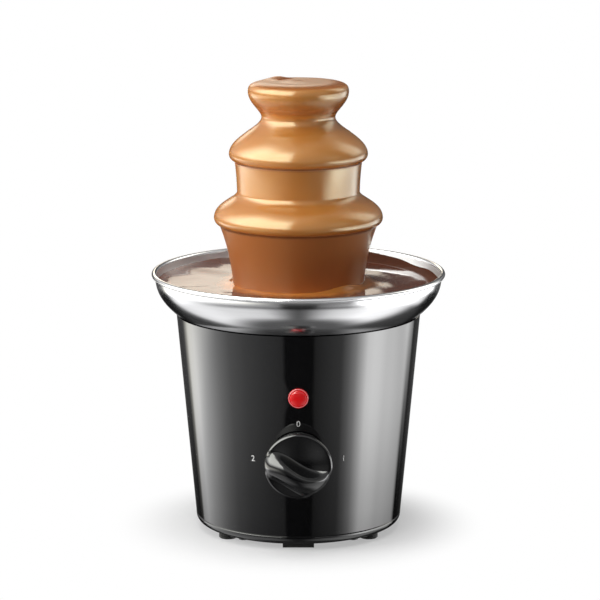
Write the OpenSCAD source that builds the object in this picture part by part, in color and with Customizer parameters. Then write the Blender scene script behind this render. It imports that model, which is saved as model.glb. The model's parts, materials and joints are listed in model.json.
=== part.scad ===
// Table-top chocolate fountain: a heated steel bowl on a tapered housing, with a screw that
// lifts the chocolate up a tower from which it falls over a crown and two tiers.
// Millimetres, +Z up. The origin lies on the table under the tower's axis, the knob faces -Y.

/* [Housing] */
// Outer radius of the housing at its top edge
shell_top_r = 76.6; // [74:0.1:79]
// Outer radius of the housing at its lower edge
shell_foot_r = 64.9; // [62:0.1:67]
// Height of the housing's top edge above the table
shell_top_z = 137.6; // [132:0.1:150]
// Height of the joint between housing and base cover
shell_foot_z = 9; // [8.7:0.1:12]
// Wall of the housing
shell_wall = 2.5; // [2:0.1:3.2]
// Bevel that shows as a line where housing and base cover meet
parting_bevel = 0.4; // [0.2:0.1:0.8]
// Radius of the base cover's rounded lower edge
base_edge_r = 5; // [3:0.1:5]
// Thickness of the base cover's floor
cover_t = 2.5; // [2:0.1:4]
// Height of the feet under the base cover
foot_h = 3.5; // [2.5:0.1:3.6]
// Radius of a round foot
round_foot_r = 5.75; // [4:0.05:7]
// Width of the front and rear feet
end_foot_w = 19.4; // [14:0.1:26]
// Depth of the front and rear feet
end_foot_d = 8; // [6:0.1:10]
// Vent slots in the base cover
vent_count = 14; // [8:1:18]

/* [Bowl] */
// Outer radius over the rolled rim
bowl_rim_r = 92; // [90:0.1:96]
// Radius of the rolled rim's bead
rim_bead_r = 1.6; // [1.2:0.1:2]
// Height of the rim's middle above the housing's top edge
rim_rise = 24.8; // [22:0.1:32]
// Depth of the bowl's floor below the housing's top edge
bowl_sink = 16.1; // [14:0.1:20]
// Radius of the bowl's flat floor
bowl_floor_r = 46; // [45:0.1:50]
// Sheet thickness of the bowl
bowl_sheet = 1; // [0.8:0.1:1.5]

/* [Chocolate and tower] */
// Depth of the chocolate pool over the bowl's floor
pool_depth = 35; // [30:0.1:37]
// Height of the chocolate's top above the crown's widest ring
flow_top = 6.8; // [5.8:0.1:9]
// Height of the crown's widest ring above the neck
crown_h = 16; // [13.5:0.1:19]
// Outer radius of the chocolate at the crown
crown_r = 31.4; // [29:0.1:35]
// Height of the neck under the crown above the upper tier's widest ring
neck_h = 23; // [19.5:0.1:27]
// Outer radius of the chocolate at the neck
neck_r = 23; // [22.5:0.1:25]
// Height of the upper tier's widest ring above the waist
upper_tier_h = 23.5; // [20:0.1:28]
// Outer radius of the chocolate at the upper tier
upper_tier_r = 43.3; // [41:0.1:48]
// Height of the waist above the lower tier's widest ring
waist_h = 16.5; // [14.5:0.1:20]
// Outer radius of the chocolate at the waist
waist_r = 38.3; // [36:0.1:40]
// Height of the lower tier's widest ring above the bowl's floor
lower_tier_h = 76.5; // [72:0.1:78]
// Outer radius of the chocolate at the lower tier
lower_tier_r = 52.8; // [50:0.1:58]
// Outer radius of the lower curtain where it meets the pool
curtain_foot_r = 41; // [38:0.1:46]
// Thickness of the chocolate film and curtains
film = 1.8; // [1.4:0.1:2.1]
// Wall of the crown and canopies
canopy_wall = 1.2; // [0.9:0.1:1.5]
// Outer radius of the tower tube at its top
tube_r = 16; // [15.6:0.1:16.4]
// Bore radius of the tower tube
tube_bore_r = 14; // [13.6:0.1:14.4]
// Radius of the tower's foot flange
flange_r = 28; // [27:0.1:30]
// Thickness of the tower's foot flange
flange_t = 3; // [2:0.1:4]
// Width of an inlet window in the tower tube
inlet_w = 15; // [10:0.1:18]
// Height of an inlet window in the tower tube
inlet_h = 17; // [10:0.1:24]
// Ring radius of the tower studs
stud_ring_r = 23.6; // [23.3:0.1:24]
// Radius of a tower stud
stud_r = 2.3; // [2.2:0.05:2.5]

/* [Screw] */
// Turns of the screw's flight
flight_turns = 6.5; // [4:0.5:8]
// Thickness of the flight
flight_t = 2.2; // [1.5:0.1:3]
// Running gap between flight and tube
flight_gap = 0.6; // [0.4:0.1:1]
// Radius of the screw's core
core_r = 6; // [5.4:0.1:7]

/* [Drive] */
// Radius of the drive shaft
shaft_r = 4; // [3.6:0.1:4.4]
// Side of the shaft's square head
shaft_square = 5.4; // [4.6:0.1:5.6]
// Gear module
gear_module = 0.8; // [0.7:0.05:0.9]
// Teeth of the motor pinion
pinion_teeth = 12; // [11:1:13]
// Teeth of the idler's large wheel
idler_teeth = 48; // [46:1:50]
// Teeth of the idler's small wheel
idler_pinion_teeth = 14; // [13:1:15]
// Teeth of the drive gear
drive_teeth = 54; // [52:1:58]
// Face width of the gears
gear_w = 5; // [4:0.1:5.4]
// Backlash along the pitch circle
backlash = 0.3; // [0.2:0.05:0.4]
// Direction from the idler to the motor, degrees from +X
motor_angle = 160; // [150:1:165]
// Height of the gear case
case_h = 18; // [17:0.1:20]
// Wall of the gear case
case_wall = 2; // [1.6:0.1:2.4]
// Outer radius of the motor can
motor_r = 18; // [16:0.1:19]
// Length of the motor can
motor_h = 42; // [34:0.1:46]

/* [Heater] */
// Thickness of the heater plate
heater_t = 6.5; // [5:0.1:8]
// Ring radius of the heating element
element_r = 33; // [32:0.1:34]
// Tube radius of the heating element
element_tube_r = 3.3; // [2.8:0.1:3.6]
// Angle that the heating element covers
element_angle = 310; // [270:1:320]
// Length of the spacers between heater plate and bracket
spacer_h = 12; // [11:0.1:14]
// Thickness of the bracket plate
bracket_t = 2; // [1.5:0.1:3]

/* [Controls] */
// Height of the knob's axis where it leaves the housing
knob_z = 58.8; // [50:0.1:66]
// Largest radius of the knob
knob_r = 20.7; // [18:0.1:22]
// Reach of the knob's rim from the housing
knob_face = 11.5; // [9:0.1:13]
// Reach of the knob's wavy grip from the housing
knob_reach = 19.5; // [17:0.1:20]
// Radius of the switch shaft
switch_shaft_r = 3; // [2.5:0.1:3.2]
// Side of the square switch body
switch_side = 26; // [22:0.1:30]
// Depth of the switch body
switch_depth = 14; // [11:0.1:18]
// Height of the lamp's axis where it leaves the housing
lamp_z = 99; // [94:0.1:106]
// Radius of the lamp lens's flange
lens_r = 6.2; // [5.8:0.1:7.5]
// Height of the cord grommet's axis above the joint of the base cover
cord_up = 13; // [12.5:0.1:17]
// Radius of the cord's hole in the grommet
cord_r = 3.3; // [2.8:0.1:3.6]

/* [Fits and fasteners] */
// Gap of a fit between fixed pieces
seat_fit = 0.05; // [0.03:0.01:0.1]
// Gap of a turning fit
turn_fit = 0.05; // [0.03:0.01:0.1]
// Gap between chocolate and what carries it
film_gap = 0.25; // [0.2:0.05:0.4]
// Gap of a piece that lifts off by hand
lift_fit = 0.3; // [0.2:0.05:0.4]
// Shank radius of the M3 screws
m3_r = 1.5; // [1.4:0.05:1.6]
// Shank radius of the M4 screws and studs
m4_r = 2; // [1.9:0.05:2.1]
// Gap around a screw's shank in its hole
screw_gap = 0.15; // [0.1:0.05:0.25]

/* [Hidden] */
$fn = 96;

// Overlap that makes one piece of two shapes, and what a cut runs past a face
eps = 0.1;
through = 1;

// Curve tools: cubic curves in the (radius, height) plane, run from top to bottom
function bez(c, t) =
    pow(1 - t, 3) * c[0] + 3 * t * pow(1 - t, 2) * c[1] + 3 * t * t * (1 - t) * c[2] + t * t * t * c[3];
function bez_dir(c, t) =
    pow(1 - t, 2) * (c[1] - c[0]) + 2 * t * (1 - t) * (c[2] - c[1]) + t * t * (c[3] - c[2]);
function out_normal(v) = [-v[1], v[0]] / norm(v);
function bez_at(c, t, shift) = bez(c, t) + shift * out_normal(bez_dir(c, t));
function bez_path(c, steps, shift = 0, from = 0) =
    [for (i = [0 : steps]) bez_at(c, from + (1 - from) * i / steps, shift)];
function tail(v) = [for (i = [1 : len(v) - 1]) v[i]];
function reverse(v) = [for (i = [len(v) - 1 : -1 : 0]) v[i]];
function arc(centre, r, from, to, steps) =
    [for (i = [0 : steps]) let (a = from + (to - from) * i / steps) centre + r * [cos(a), sin(a)]];
curve_steps = 8;
arc_steps = 10;

// Housing: a cone, narrower at the foot
taper = atan((shell_top_r - shell_foot_r) / (shell_top_z - shell_foot_z));
function shell_r(z) = shell_foot_r + (z - shell_foot_z) * tan(taper);
function shell_in_r(z) = shell_r(z) - shell_wall / cos(taper);
cover_top_z = foot_h + cover_t;
spigot_h = 5;
spigot_wall = 2;
spigot_fit = 0.2;
spigot_r = shell_in_r(shell_foot_z) - spigot_fit;
spigot_top_z = shell_foot_z + spigot_h;
rib_w = 3;
rib_sink = 0.4;
vent_in_r = 12;
vent_len = 13;
vent_w = 3;

// Bowl: wall, shoulder where it enters the housing, flat floor
rim_z = shell_top_z + rim_rise;
floor_z = shell_top_z - bowl_sink;
under_z = floor_z - bowl_sheet;
bead_c = [bowl_rim_r - rim_bead_r, rim_z];
wall_r = bowl_rim_r - 2 * rim_bead_r + bowl_sheet;
bead_meet = sqrt(pow(rim_bead_r, 2) - pow(bead_c[0] - wall_r, 2));
bead_end = -90 - asin((bead_c[0] - wall_r) / rim_bead_r);
shoulder_out = 0.4;
shoulder_up = 1;
shoulder_angle = 40.7;
shoulder = [shell_top_r + shoulder_out, shell_top_z + shoulder_up];
slope = [cos(shoulder_angle), sin(shoulder_angle)];
wall_handle = 10.4;
shoulder_handle = 8.6;
sink_handle = 11.2;
floor_handle = 12;
bowl_wall_curve = [[wall_r, rim_z - bead_meet], [wall_r, rim_z - bead_meet - wall_handle],
    shoulder + shoulder_handle * slope, shoulder];
bowl_sink_curve = [shoulder, shoulder - sink_handle * slope,
    [bowl_floor_r + floor_handle, under_z], [bowl_floor_r, under_z]];
function bowl_path(shift) =
    concat(bez_path(bowl_wall_curve, curve_steps, shift),
        tail(bez_path(bowl_sink_curve, curve_steps, shift)));

// Seat of the bowl on the housing: s runs down the bowl's skin from its shoulder, d goes out from it
function seat(s, d) = bez_at(bowl_sink_curve, s / (3 * sink_handle), d);
function seat_path(from, to, d) =
    [for (i = [0 : seat_steps]) seat(from + (to - from) * i / seat_steps, d)];
seat_steps = 4;
lip_gap = 0.5;
lip_t = 2.2;
gasket_t = 1.6;
gasket_from = 6;
gasket_to = 12;
lip_past = 0.8;
lip_end = gasket_to + lip_past;
lip_under = lip_gap + gasket_t + lip_t;
lip_tip = seat(lip_end, lip_under);
lip_reach = (shell_in_r(lip_tip[1]) - lip_tip[0]) / (slope[0] - slope[1] * tan(taper));
lip_root = lip_tip + lip_reach * slope;
gasket_gap = 0.15;

// Heights under the bowl, from the heater plate down to the motor
heater_z = under_z - heater_t;
plate_top_z = heater_z - spacer_h;
plate_z = plate_top_z - bracket_t;
case_z = plate_z - case_h;
motor_z = case_z - motor_h;

// Tower heights
pool_z = floor_z + pool_depth;
lower_z = floor_z + lower_tier_h;
waist_z = lower_z + waist_h;
upper_z = waist_z + upper_tier_h;
neck_z = upper_z + neck_h;
crown_z = neck_z + crown_h;
top_z = crown_z + flow_top;

// Outline of the flowing chocolate: shoulder of the crown, its underside, then twice a skirt
// that swells out, a lip that turns under, and a curtain that falls
shoulder_in = 7.4;
shoulder_drop = 0.5;
shoulder_lead = 5;
shoulder_swell = 4;
crown_shoulder = [[crown_r - shoulder_in, top_z - shoulder_drop],
    [crown_r - shoulder_in + shoulder_lead, top_z - shoulder_drop],
    [crown_r, crown_z + shoulder_swell], [crown_r, crown_z]];
crown_swell = 6.5;
neck_lead = [1, 6];
crown_under = [[crown_r, crown_z], [crown_r, crown_z - crown_swell],
    [neck_r, neck_z] + neck_lead, [neck_r, neck_z]];
skirt_lead = 6.5;
skirt_swell = 10;
function skirt(a, b) = [a, a - [0, skirt_lead], b + [0, skirt_swell], b];
lip_in = 3.3;
lip_drop = 4.2;
function lip(a) = [a, a - [0, lip_drop / 2], a - [lip_in / 4, lip_drop * 0.85], a - [lip_in, lip_drop]];
curtain_step = [0.3, 0.6];
fall_lead = 0.3;
fall_tail = [0.2, 0.45];
function fall(a, b) = [a, a + fall_lead * (b - a),
    b + [fall_tail[0] * (a[0] - b[0]), fall_tail[1] * (a[1] - b[1])], b];
upper_ring = [upper_tier_r, upper_z];
lower_ring = [lower_tier_r, lower_z];
waist = [waist_r, waist_z];
lip_end_drop = [lip_in, lip_drop] + curtain_step;
upper_skirt = skirt([neck_r, neck_z], upper_ring);
upper_fall = fall(upper_ring - lip_end_drop, waist);
lower_skirt = skirt(waist, lower_ring);
lower_fall = fall(lower_ring - lip_end_drop, [curtain_foot_r, pool_z + film_gap]);
lip_steps = 5;
function flow_path(shift) = concat(bez_path(crown_under, curve_steps, shift),
    tail(bez_path(upper_skirt, curve_steps, shift)), tail(bez_path(lip(upper_ring), lip_steps, shift)),
    bez_path(upper_fall, curve_steps, shift),
    tail(bez_path(lower_skirt, curve_steps, shift)), tail(bez_path(lip(lower_ring), lip_steps, shift)),
    bez_path(lower_fall, curve_steps, shift));

// Tower metal under the film
metal_out = -film - film_gap;
metal_in = metal_out - canopy_wall;
crown_rim_up = 1.6;
crown_rim_z = crown_z + crown_rim_up;
crown_out_r = crown_r + metal_out;
crown_in_r = crown_r + metal_in;
tube_step = 1.25;
crown_freeboard = 3;
tube_top_z = crown_z - crown_freeboard;
fill_gap = 0.8;
fill_inset = 1.2;
fill_z = tube_top_z + fill_gap;
collar_w = 2;
collar_fit = 0.1;
crown_seat_up = 0.4;
crown_seat_z = neck_z + crown_seat_up;
crown_collar_h = 9;
upper_sleeve = 15;
upper_seat_z = neck_z - upper_sleeve;
lower_sleeve = 12;
lower_seat_z = waist_z - lower_sleeve;
upper_skirt_from = 0.15;
lower_cone_rise = 6;
well_step = 0.4;
well_r = tube_bore_r + well_step;
inlet_turn = 60;

// Screw
flight_r = tube_bore_r - flight_gap;
auger_up = 6;
auger_z = floor_z + auger_up;
auger_proud = 1.5;
auger_top_z = tube_top_z + auger_proud;
flight_sides = 24;
flight_rings = flight_turns * flight_sides;
flight_root = 0.8;
flight_inset = 1;
flight_z = auger_z + flight_inset;
flight_top_z = auger_top_z - flight_inset;
swirl_gap = 1.2;
swirl_rise = 1;
swirl_edge = 3;

// Studs that hold the tower's foot
stud_angles = [90, 210, 330];
stud_h = 9;
stud_tail = 5;
nut_h = 3.2;
nut_across = 7;

// Seal and bushes on the drive axis
seal_r = 8;
seal_flange_r = 10.5;
seal_flange_t = 1.5;
seal_lip_h = 4.5;
seal_lip_w = 2;
bush_wall = 2.5;
bush_r = shaft_r + bush_wall;
upper_flange_w = 2;
upper_flange_r = bush_r + upper_flange_w;
lower_flange_w = 0.4;
lower_flange_r = bush_r + lower_flange_w;
bush_flange_t = 1.2;
square_up = 5;
square_z = floor_z + square_up;
square_h = 14;

// Gears: pitch radii, places and phases so that teeth meet gaps at rest
pressure_angle = 25;
function pitch_r(teeth) = teeth * gear_module / 2;
mesh_gap = 0.1;
drive_to_idler = pitch_r(drive_teeth) + pitch_r(idler_pinion_teeth) + mesh_gap;
idler_to_motor = pitch_r(idler_teeth) + pitch_r(pinion_teeth) + mesh_gap;
idler_dir = 90;
idler_at = drive_to_idler * [cos(idler_dir), sin(idler_dir)];
motor_at = idler_at + idler_to_motor * [cos(motor_angle), sin(motor_angle)];
tip_share = 0.9;
root_share = 1.15;
function tip_r(teeth) = pitch_r(teeth) + tip_share * gear_module;
function root_r(teeth) = pitch_r(teeth) - root_share * gear_module;
layer_lift = 2;
layer_gap = 0.8;
layer_a_z = case_z + case_wall + layer_lift;
layer_b_z = layer_a_z + gear_w + layer_gap;
axial_play = 0.3;
gear_top_z = plate_z - axial_play;
idler_pin_r = 2;
idler_boss_r = 4;
rotor_shaft_r = 1.5;
case_gap = 1.2;
drive_lobe_r = tip_r(drive_teeth) + case_gap + case_wall;
idler_lobe_r = tip_r(idler_teeth) + case_gap + case_wall;
motor_screw_off = 9.5;
motor_lobe_room = 4;
motor_lobe_r = motor_screw_off + motor_lobe_room + case_wall;
ear_hole_h = 12;
ear_r = 4.5;
ear_off = ear_r / 2;
ear_dirs = [0, 180];
idler_ear_dir = 48;
ears = concat([for (a = ear_dirs) (drive_lobe_r + ear_off) * [cos(a), sin(a)]],
    [idler_at + (idler_lobe_r + ear_off) * [cos(idler_ear_dir), sin(idler_ear_dir)]]);
motor_screw_dirs = [motor_angle - 90, motor_angle + 90];
motor_wall = 1.2;
motor_top_t = 2;
motor_nose_r = 5;
cap_t = 4;
cap_spigot_h = 1.4;
rotor_gap = 3.5;
rotor_foot = 4;
rotor_head = 6;
pinion_proud = 0.6;

// Fastening rings
bracket_room = 0.9;
bracket_r = shell_in_r(shell_foot_z) - bracket_room;
boss_inset = 5;
boss_ring_r = bracket_r - boss_inset;
boss_angles = [45, 165, 300];
boss_r = 4.5;
boss_room = 1;
boss_h = spacer_h - boss_room;
boss_blind = 4;
clamp_ring_r = 42;
clamp_angles = [30, 150, 270];
spacer_r = 3.6;
clamp_grip = 4;
cover_screw_inset = 8.2;
cover_screw_r = spigot_r - cover_screw_inset;
cover_screw_angles = [51, 129, 231, 309];
cover_boss_r = 4;
cover_boss_h = 16;
cover_screw_h = 12;
cover_head_r = 3.2;
cover_head_h = 2;
wire_hole_r = 8;
wire_hole_ring = 46;
wire_hole_angles = [0, 180];
head_share = 1.9;
head_rise = 1.2;
function head_r(shank) = head_share * shank;
function head_h(shank) = head_rise * shank;

// Heater: plate, terminals of the element, thermostat and fuse under the plate
heater_r = bowl_floor_r;
heater_hole_r = 12;
terminal_in = 4;
terminal_h = 9;
terminal_r = 1.3;
thermostat_r = 8;
thermostat_h = 6;
thermostat_y = 20.5;
thermostat_blade = 4;
fuse_angle = 25;
fuse_ring = 20;
fuse_r = 2;
fuse_len = 12;
fuse_clip = 1.5;

// Feet
foot_inset = 9.9;
foot_ring_r = shell_foot_r - foot_inset;
foot_angles = [36.9, 143.1, 216.9, 323.1];
end_foot_inset = 7.9;
end_foot_y = shell_foot_r - end_foot_inset - end_foot_d / 2;
foot_bevel = 0.6;
peg_r = 2.4;
peg_roof = 0.4;
peg_h = cover_t - peg_roof;
peg_span = 10;

// Controls, in the panel's own frame: x right, y up the wall, z out of it
function sag(r, z) = pow(r, 2) / (2 * shell_in_r(z));
switch_bush_z = 3.8;
knob_gap = 1.2;
knob_flare = 2;
knob_back_r = knob_r - knob_flare;
knob_band = 3.5;
knob_rim_z = knob_face - knob_band;
knob_edge = 2.4;
knob_dish = 2;
knob_floor_z = knob_face - knob_dish;
knob_wall = 2;
knob_hub_wall = 3;
knob_hub_r = switch_shaft_r + knob_hub_wall;
knob_hub_gap = 0.6;
knob_hub_z = switch_bush_z + knob_hub_gap;
knob_bore_roof = 1;
knob_bore_z = knob_floor_z - knob_bore_roof;
knob_crown = 2.5;
// Upper and lower edge of the wavy grip, as curves from rim to rim, for a knob of grip_r
grip_r = 20.7;
grip_upper = [[-17.4, 11.2], [-7, 8.5], [-2, -10.5], [19.8, -6.1]] * (knob_r / grip_r);
grip_lower = [[-20.6, 1.8], [-9, 0], [2, -13.5], [12.5, -16.5]] * (knob_r / grip_r);
grip_steps = 16;
grip_edge = 3;
grip_edge_end = 80;
switch_bush_r = 4.75;
switch_boss_r = 7;
switch_boss_gap = 0.15;
switch_boss_z = shell_wall + sag(switch_boss_r, knob_z) + switch_boss_gap;
switch_gap = 0.6;
switch_front = shell_wall + sag(switch_side / 2, knob_z) + switch_gap;
flat_depth = 0.8;
shaft_flat = switch_shaft_r - flat_depth;
shaft_end_gap = 0.3;
switch_nut_across = 13;
switch_nut_h = 2.2;
switch_bore_h = 8;
blade = [6.3, 0.8, 7];
blade_inset = 5;
blade_ring = switch_side / 2 - blade_inset;
lens_flange = 1.4;
lens_dome = 1;
lens_bevel = 0.6;
lens_step = 1;
lens_face_r = lens_r - lens_step;
panel_lift = 0.1;
lens_ledge = 1.2;
lens_barrel_r = lens_r - lens_ledge;
lens_barrel_wall = 1.1;
lens_barrel_h = 11;
holder_wall = 1.8;
holder_r = lens_barrel_r + holder_wall;
holder_gap = 0.3;
holder_front = shell_wall + sag(holder_r, lamp_z) + holder_gap;
holder_h = 12;
holder_room = 1;
holder_end_y = shell_r(lamp_z) - (holder_front + holder_h) * cos(taper);
neon_r = 2.4;
neon_h = 9;
cord_z = shell_foot_z + cord_up;
grommet_wall = 1.9;
grommet_neck_r = cord_r + grommet_wall;
grommet_flange_w = 1.8;
grommet_flange_r = grommet_neck_r + grommet_flange_w;
grommet_flange_t = 2.2;
grommet_bevel = 1;
grommet_gap = 0.2;
grommet_inner = shell_wall + sag(grommet_flange_r, cord_z) + grommet_gap;
block = [24, 12, 11];
block_y = 36;
block_holes = [0.2, 0.5, 0.8];
block_hole_z = 6;
block_hole_r = 2;

module on_panel(z) {
    translate([0, -shell_r(z), z]) rotate([90 + taper, 0, 0]) children();
}

module ring(angles, r) {
    for (a = angles) rotate(a) translate([r, 0, 0]) children();
}

module turned(points) {
    rotate_extrude() polygon(points);
}

module tube(outer, inner, h) {
    difference() {
        cylinder(r = outer, h = h);
        translate([0, 0, -through]) cylinder(r = inner, h = h + 2 * through);
    }
}

module hex(across, h) {
    cylinder(r = across / sqrt(3), h = h, $fn = 6);
}

// A pan head above z = 0 with its shank below
module screw(shank, length) {
    cylinder(r = head_r(shank), h = head_h(shank));
    translate([0, 0, -length]) cylinder(r = shank, h = length + eps);
}

// Spur gear
function involute(a) = tan(a) * 180 / PI - a;
function flank(teeth, r) = let (base = pitch_r(teeth) * cos(pressure_angle))
    90 / teeth - backlash / 2 / pitch_r(teeth) * 180 / PI / 2 + involute(pressure_angle)
    - (r > base ? involute(acos(base / r)) : 0);
flank_steps = 3;
function tooth(teeth, at) = let (
    radii = [for (i = [0 : flank_steps]) root_r(teeth) + (tip_r(teeth) - root_r(teeth)) * i / flank_steps])
    concat([for (r = radii) r * [cos(at - flank(teeth, r)), sin(at - flank(teeth, r))]],
        [for (r = reverse(radii)) r * [cos(at + flank(teeth, r)), sin(at + flank(teeth, r))]]);
module gear(teeth, width, phase) {
    rotate(phase) linear_extrude(width)
        polygon([for (i = [0 : teeth - 1]) each tooth(teeth, i * 360 / teeth)]);
}
function gap_phase(dir, teeth) = dir + 180 + 180 / teeth;

// Housing
// A screw boss that a rib ties to the housing's wall from rib_z up
module shell_boss(angle, ring_r, z, h, r, rib_z) {
    rotate(angle) {
        translate([ring_r, 0, z]) cylinder(r = r, h = h);
        translate([ring_r, -rib_w / 2, rib_z])
            cube([shell_in_r(z + h) + rib_sink - ring_r, rib_w, z + h - rib_z]);
    }
}

module body_shell() {
    color([0.03, 0.03, 0.035]) difference() {
        union() {
            turned(concat([[shell_foot_r - parting_bevel, shell_foot_z],
                [shell_r(shell_foot_z + parting_bevel), shell_foot_z + parting_bevel],
                [shell_top_r, shell_top_z]], seat_path(gasket_from / 2, gasket_from, lip_gap),
                seat_path(gasket_from, lip_end, lip_gap + gasket_t),
                [lip_tip, lip_root, [shell_in_r(shell_foot_z), shell_foot_z]]));
            for (a = boss_angles) shell_boss(a, boss_ring_r, plate_top_z, boss_h, boss_r, plate_top_z);
            for (a = cover_screw_angles)
                shell_boss(a, cover_screw_r, cover_top_z, cover_boss_h, cover_boss_r,
                    spigot_top_z + spigot_fit);
        }
        ring(boss_angles, boss_ring_r)
            translate([0, 0, plate_top_z - through]) cylinder(r = m3_r + screw_gap, h = boss_h);
        ring(cover_screw_angles, cover_screw_r)
            translate([0, 0, cover_top_z - through])
                cylinder(r = m3_r + screw_gap, h = cover_screw_h + through);
        on_panel(knob_z) panel_hole(switch_bush_r + screw_gap);
        on_panel(lamp_z) panel_hole(lens_barrel_r + screw_gap);
        rotate(180) on_panel(cord_z) panel_hole(grommet_neck_r + seat_fit);
    }
}

module panel_hole(r) {
    translate([0, 0, -2 * shell_wall]) cylinder(r = r, h = 4 * shell_wall);
}

module base_cover() {
    edge_c = [shell_foot_r - base_edge_r, foot_h + base_edge_r];
    color([0.03, 0.03, 0.035]) difference() {
        turned(concat([[0, cover_top_z], [0, foot_h]], arc(edge_c, base_edge_r, -90, 0, arc_steps),
            [[shell_foot_r, shell_foot_z - parting_bevel], [shell_foot_r - parting_bevel, shell_foot_z],
            [spigot_r, shell_foot_z], [spigot_r, spigot_top_z],
            [spigot_r - spigot_wall, spigot_top_z], [spigot_r - spigot_wall, cover_top_z]]));
        ring(cover_screw_angles, cover_screw_r) {
            translate([0, 0, foot_h - through]) cylinder(r = m3_r + screw_gap, h = cover_t + 2 * through);
        }
        ring(foot_angles, foot_ring_r)
            translate([0, 0, foot_h - through])
                cylinder(r = peg_r + seat_fit, h = peg_h + seat_fit + through);
        end_foot_pegs(peg_r + seat_fit, foot_h - through, peg_h + seat_fit + through);
        for (i = [0 : vent_count - 1]) rotate((i + 0.5) * 360 / vent_count)
            translate([vent_in_r, -vent_w / 2, foot_h - through])
                cube([vent_len, vent_w, cover_t + 2 * through]);
    }
}

module round_feet() {
    color([0.05, 0.05, 0.05]) ring(foot_angles, foot_ring_r) turned([[0, 0],
        [round_foot_r - foot_bevel, 0], [round_foot_r, foot_bevel], [round_foot_r, foot_h],
        [peg_r, foot_h], [peg_r, foot_h + peg_h], [0, foot_h + peg_h]]);
}

module end_foot_pegs(r, z, h) {
    for (side = [-1, 1], x = [-peg_span / 2, peg_span / 2])
        translate([x, side * end_foot_y, z]) cylinder(r = r, h = h);
}

module end_feet() {
    color([0.04, 0.04, 0.04]) union() {
        for (side = [-1, 1]) translate([0, side * end_foot_y, 0]) rotate([90, 0, 90])
            translate([0, 0, -end_foot_w / 2]) linear_extrude(end_foot_w)
                polygon([[-end_foot_d / 2 + foot_bevel, 0], [end_foot_d / 2 - foot_bevel, 0],
                    [end_foot_d / 2, foot_bevel], [end_foot_d / 2, foot_h],
                    [-end_foot_d / 2, foot_h], [-end_foot_d / 2, foot_bevel]]);
        end_foot_pegs(peg_r, foot_h - eps, peg_h + eps);
    }
}

module cover_screws() {
    color("silver") ring(cover_screw_angles, cover_screw_r) translate([0, 0, foot_h]) {
        translate([0, 0, -cover_head_h]) cylinder(r = cover_head_r, h = cover_head_h);
        translate([0, 0, -eps]) cylinder(r = m3_r, h = cover_screw_h + eps);
    }
}

module cord_grommet() {
    color([0.04, 0.04, 0.04]) rotate(180) on_panel(cord_z) turned([
        [cord_r, -grommet_inner - grommet_flange_t],
        [grommet_flange_r, -grommet_inner - grommet_flange_t], [grommet_flange_r, -grommet_inner],
        [grommet_neck_r, -grommet_inner], [grommet_neck_r, seat_fit], [grommet_flange_r, seat_fit],
        [grommet_flange_r - grommet_bevel, grommet_flange_t], [cord_r, grommet_flange_t]]);
}

module terminal_block() {
    color([0.85, 0.83, 0.78]) translate([-block[0] / 2, block_y - block[1] / 2, cover_top_z]) difference() {
        cube(block);
        for (x = block_holes) translate([x * block[0], 0, block_hole_z]) rotate([-90, 0, 0])
            translate([0, 0, -through]) cylinder(r = block_hole_r, h = block[1] + 2 * through);
    }
}

// Bowl
module bowl() {
    color([0.8, 0.8, 0.8]) difference() {
        turned(concat(arc(bead_c, rim_bead_r, 180, bead_end, 2 * arc_steps), tail(bowl_path(0)),
            [[seal_r + seat_fit, under_z], [seal_r + seat_fit, floor_z]], reverse(bowl_path(-bowl_sheet))));
        ring(stud_angles, stud_ring_r)
            translate([0, 0, under_z - through]) cylinder(r = m4_r + screw_gap, h = bowl_sheet + 2 * through);
    }
}

module bowl_gasket() {
    gasket_start = gasket_from + gasket_gap;
    color([0.2, 0.2, 0.2]) turned(concat(seat_path(gasket_start, gasket_to, gasket_gap),
        seat_path(gasket_to, gasket_start, lip_gap + gasket_t - gasket_gap)));
}

module shaft_seal() {
    color([0.75, 0.35, 0.25]) turned([[shaft_r + turn_fit, under_z - seal_flange_t],
        [seal_flange_r, under_z - seal_flange_t], [seal_flange_r, under_z - seat_fit],
        [seal_r, under_z - seat_fit], [seal_r, floor_z + seat_fit], [seal_flange_r, floor_z + seat_fit],
        [seal_flange_r, floor_z + seal_flange_t], [shaft_r + seal_lip_w, floor_z + seal_lip_h],
        [shaft_r + turn_fit, floor_z + seal_lip_h]]);
}

module tower_studs() {
    color("silver") ring(stud_angles, stud_ring_r) {
        translate([0, 0, floor_z]) cylinder(r = stud_r, h = stud_h);
        translate([0, 0, heater_z - stud_tail]) cylinder(r = m4_r, h = floor_z - heater_z + stud_tail + eps);
    }
}

module stud_nuts() {
    color("silver") ring(stud_angles, stud_ring_r) translate([0, 0, heater_z - nut_h]) difference() {
        hex(nut_across, nut_h);
        translate([0, 0, -through]) cylinder(r = m4_r + seat_fit, h = nut_h + 2 * through);
    }
}

// Heater
module heater_plate() {
    color([0.7, 0.7, 0.72]) difference() {
        translate([0, 0, heater_z]) tube(heater_r, heater_hole_r, heater_t);
        translate([0, 0, heater_z]) rotate_extrude() translate([element_r, 0])
            circle(r = element_tube_r + seat_fit);
        ring(stud_angles, stud_ring_r)
            translate([0, 0, heater_z - through]) cylinder(r = m4_r + screw_gap, h = heater_t + 2 * through);
        ring(clamp_angles, clamp_ring_r)
            translate([0, 0, heater_z - through])
                cylinder(r = m4_r + seat_fit, h = clamp_grip + seat_fit + through);
    }
}

module heater_element() {
    color([0.45, 0.4, 0.38]) rotate(270 + (360 - element_angle) / 2) union() {
        translate([0, 0, heater_z]) rotate_extrude(angle = element_angle) translate([element_r, 0])
            circle(r = element_tube_r);
        for (a = [terminal_in, element_angle - terminal_in]) rotate(a)
            translate([element_r, 0, heater_z - terminal_h]) cylinder(r = terminal_r, h = terminal_h);
    }
}

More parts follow.
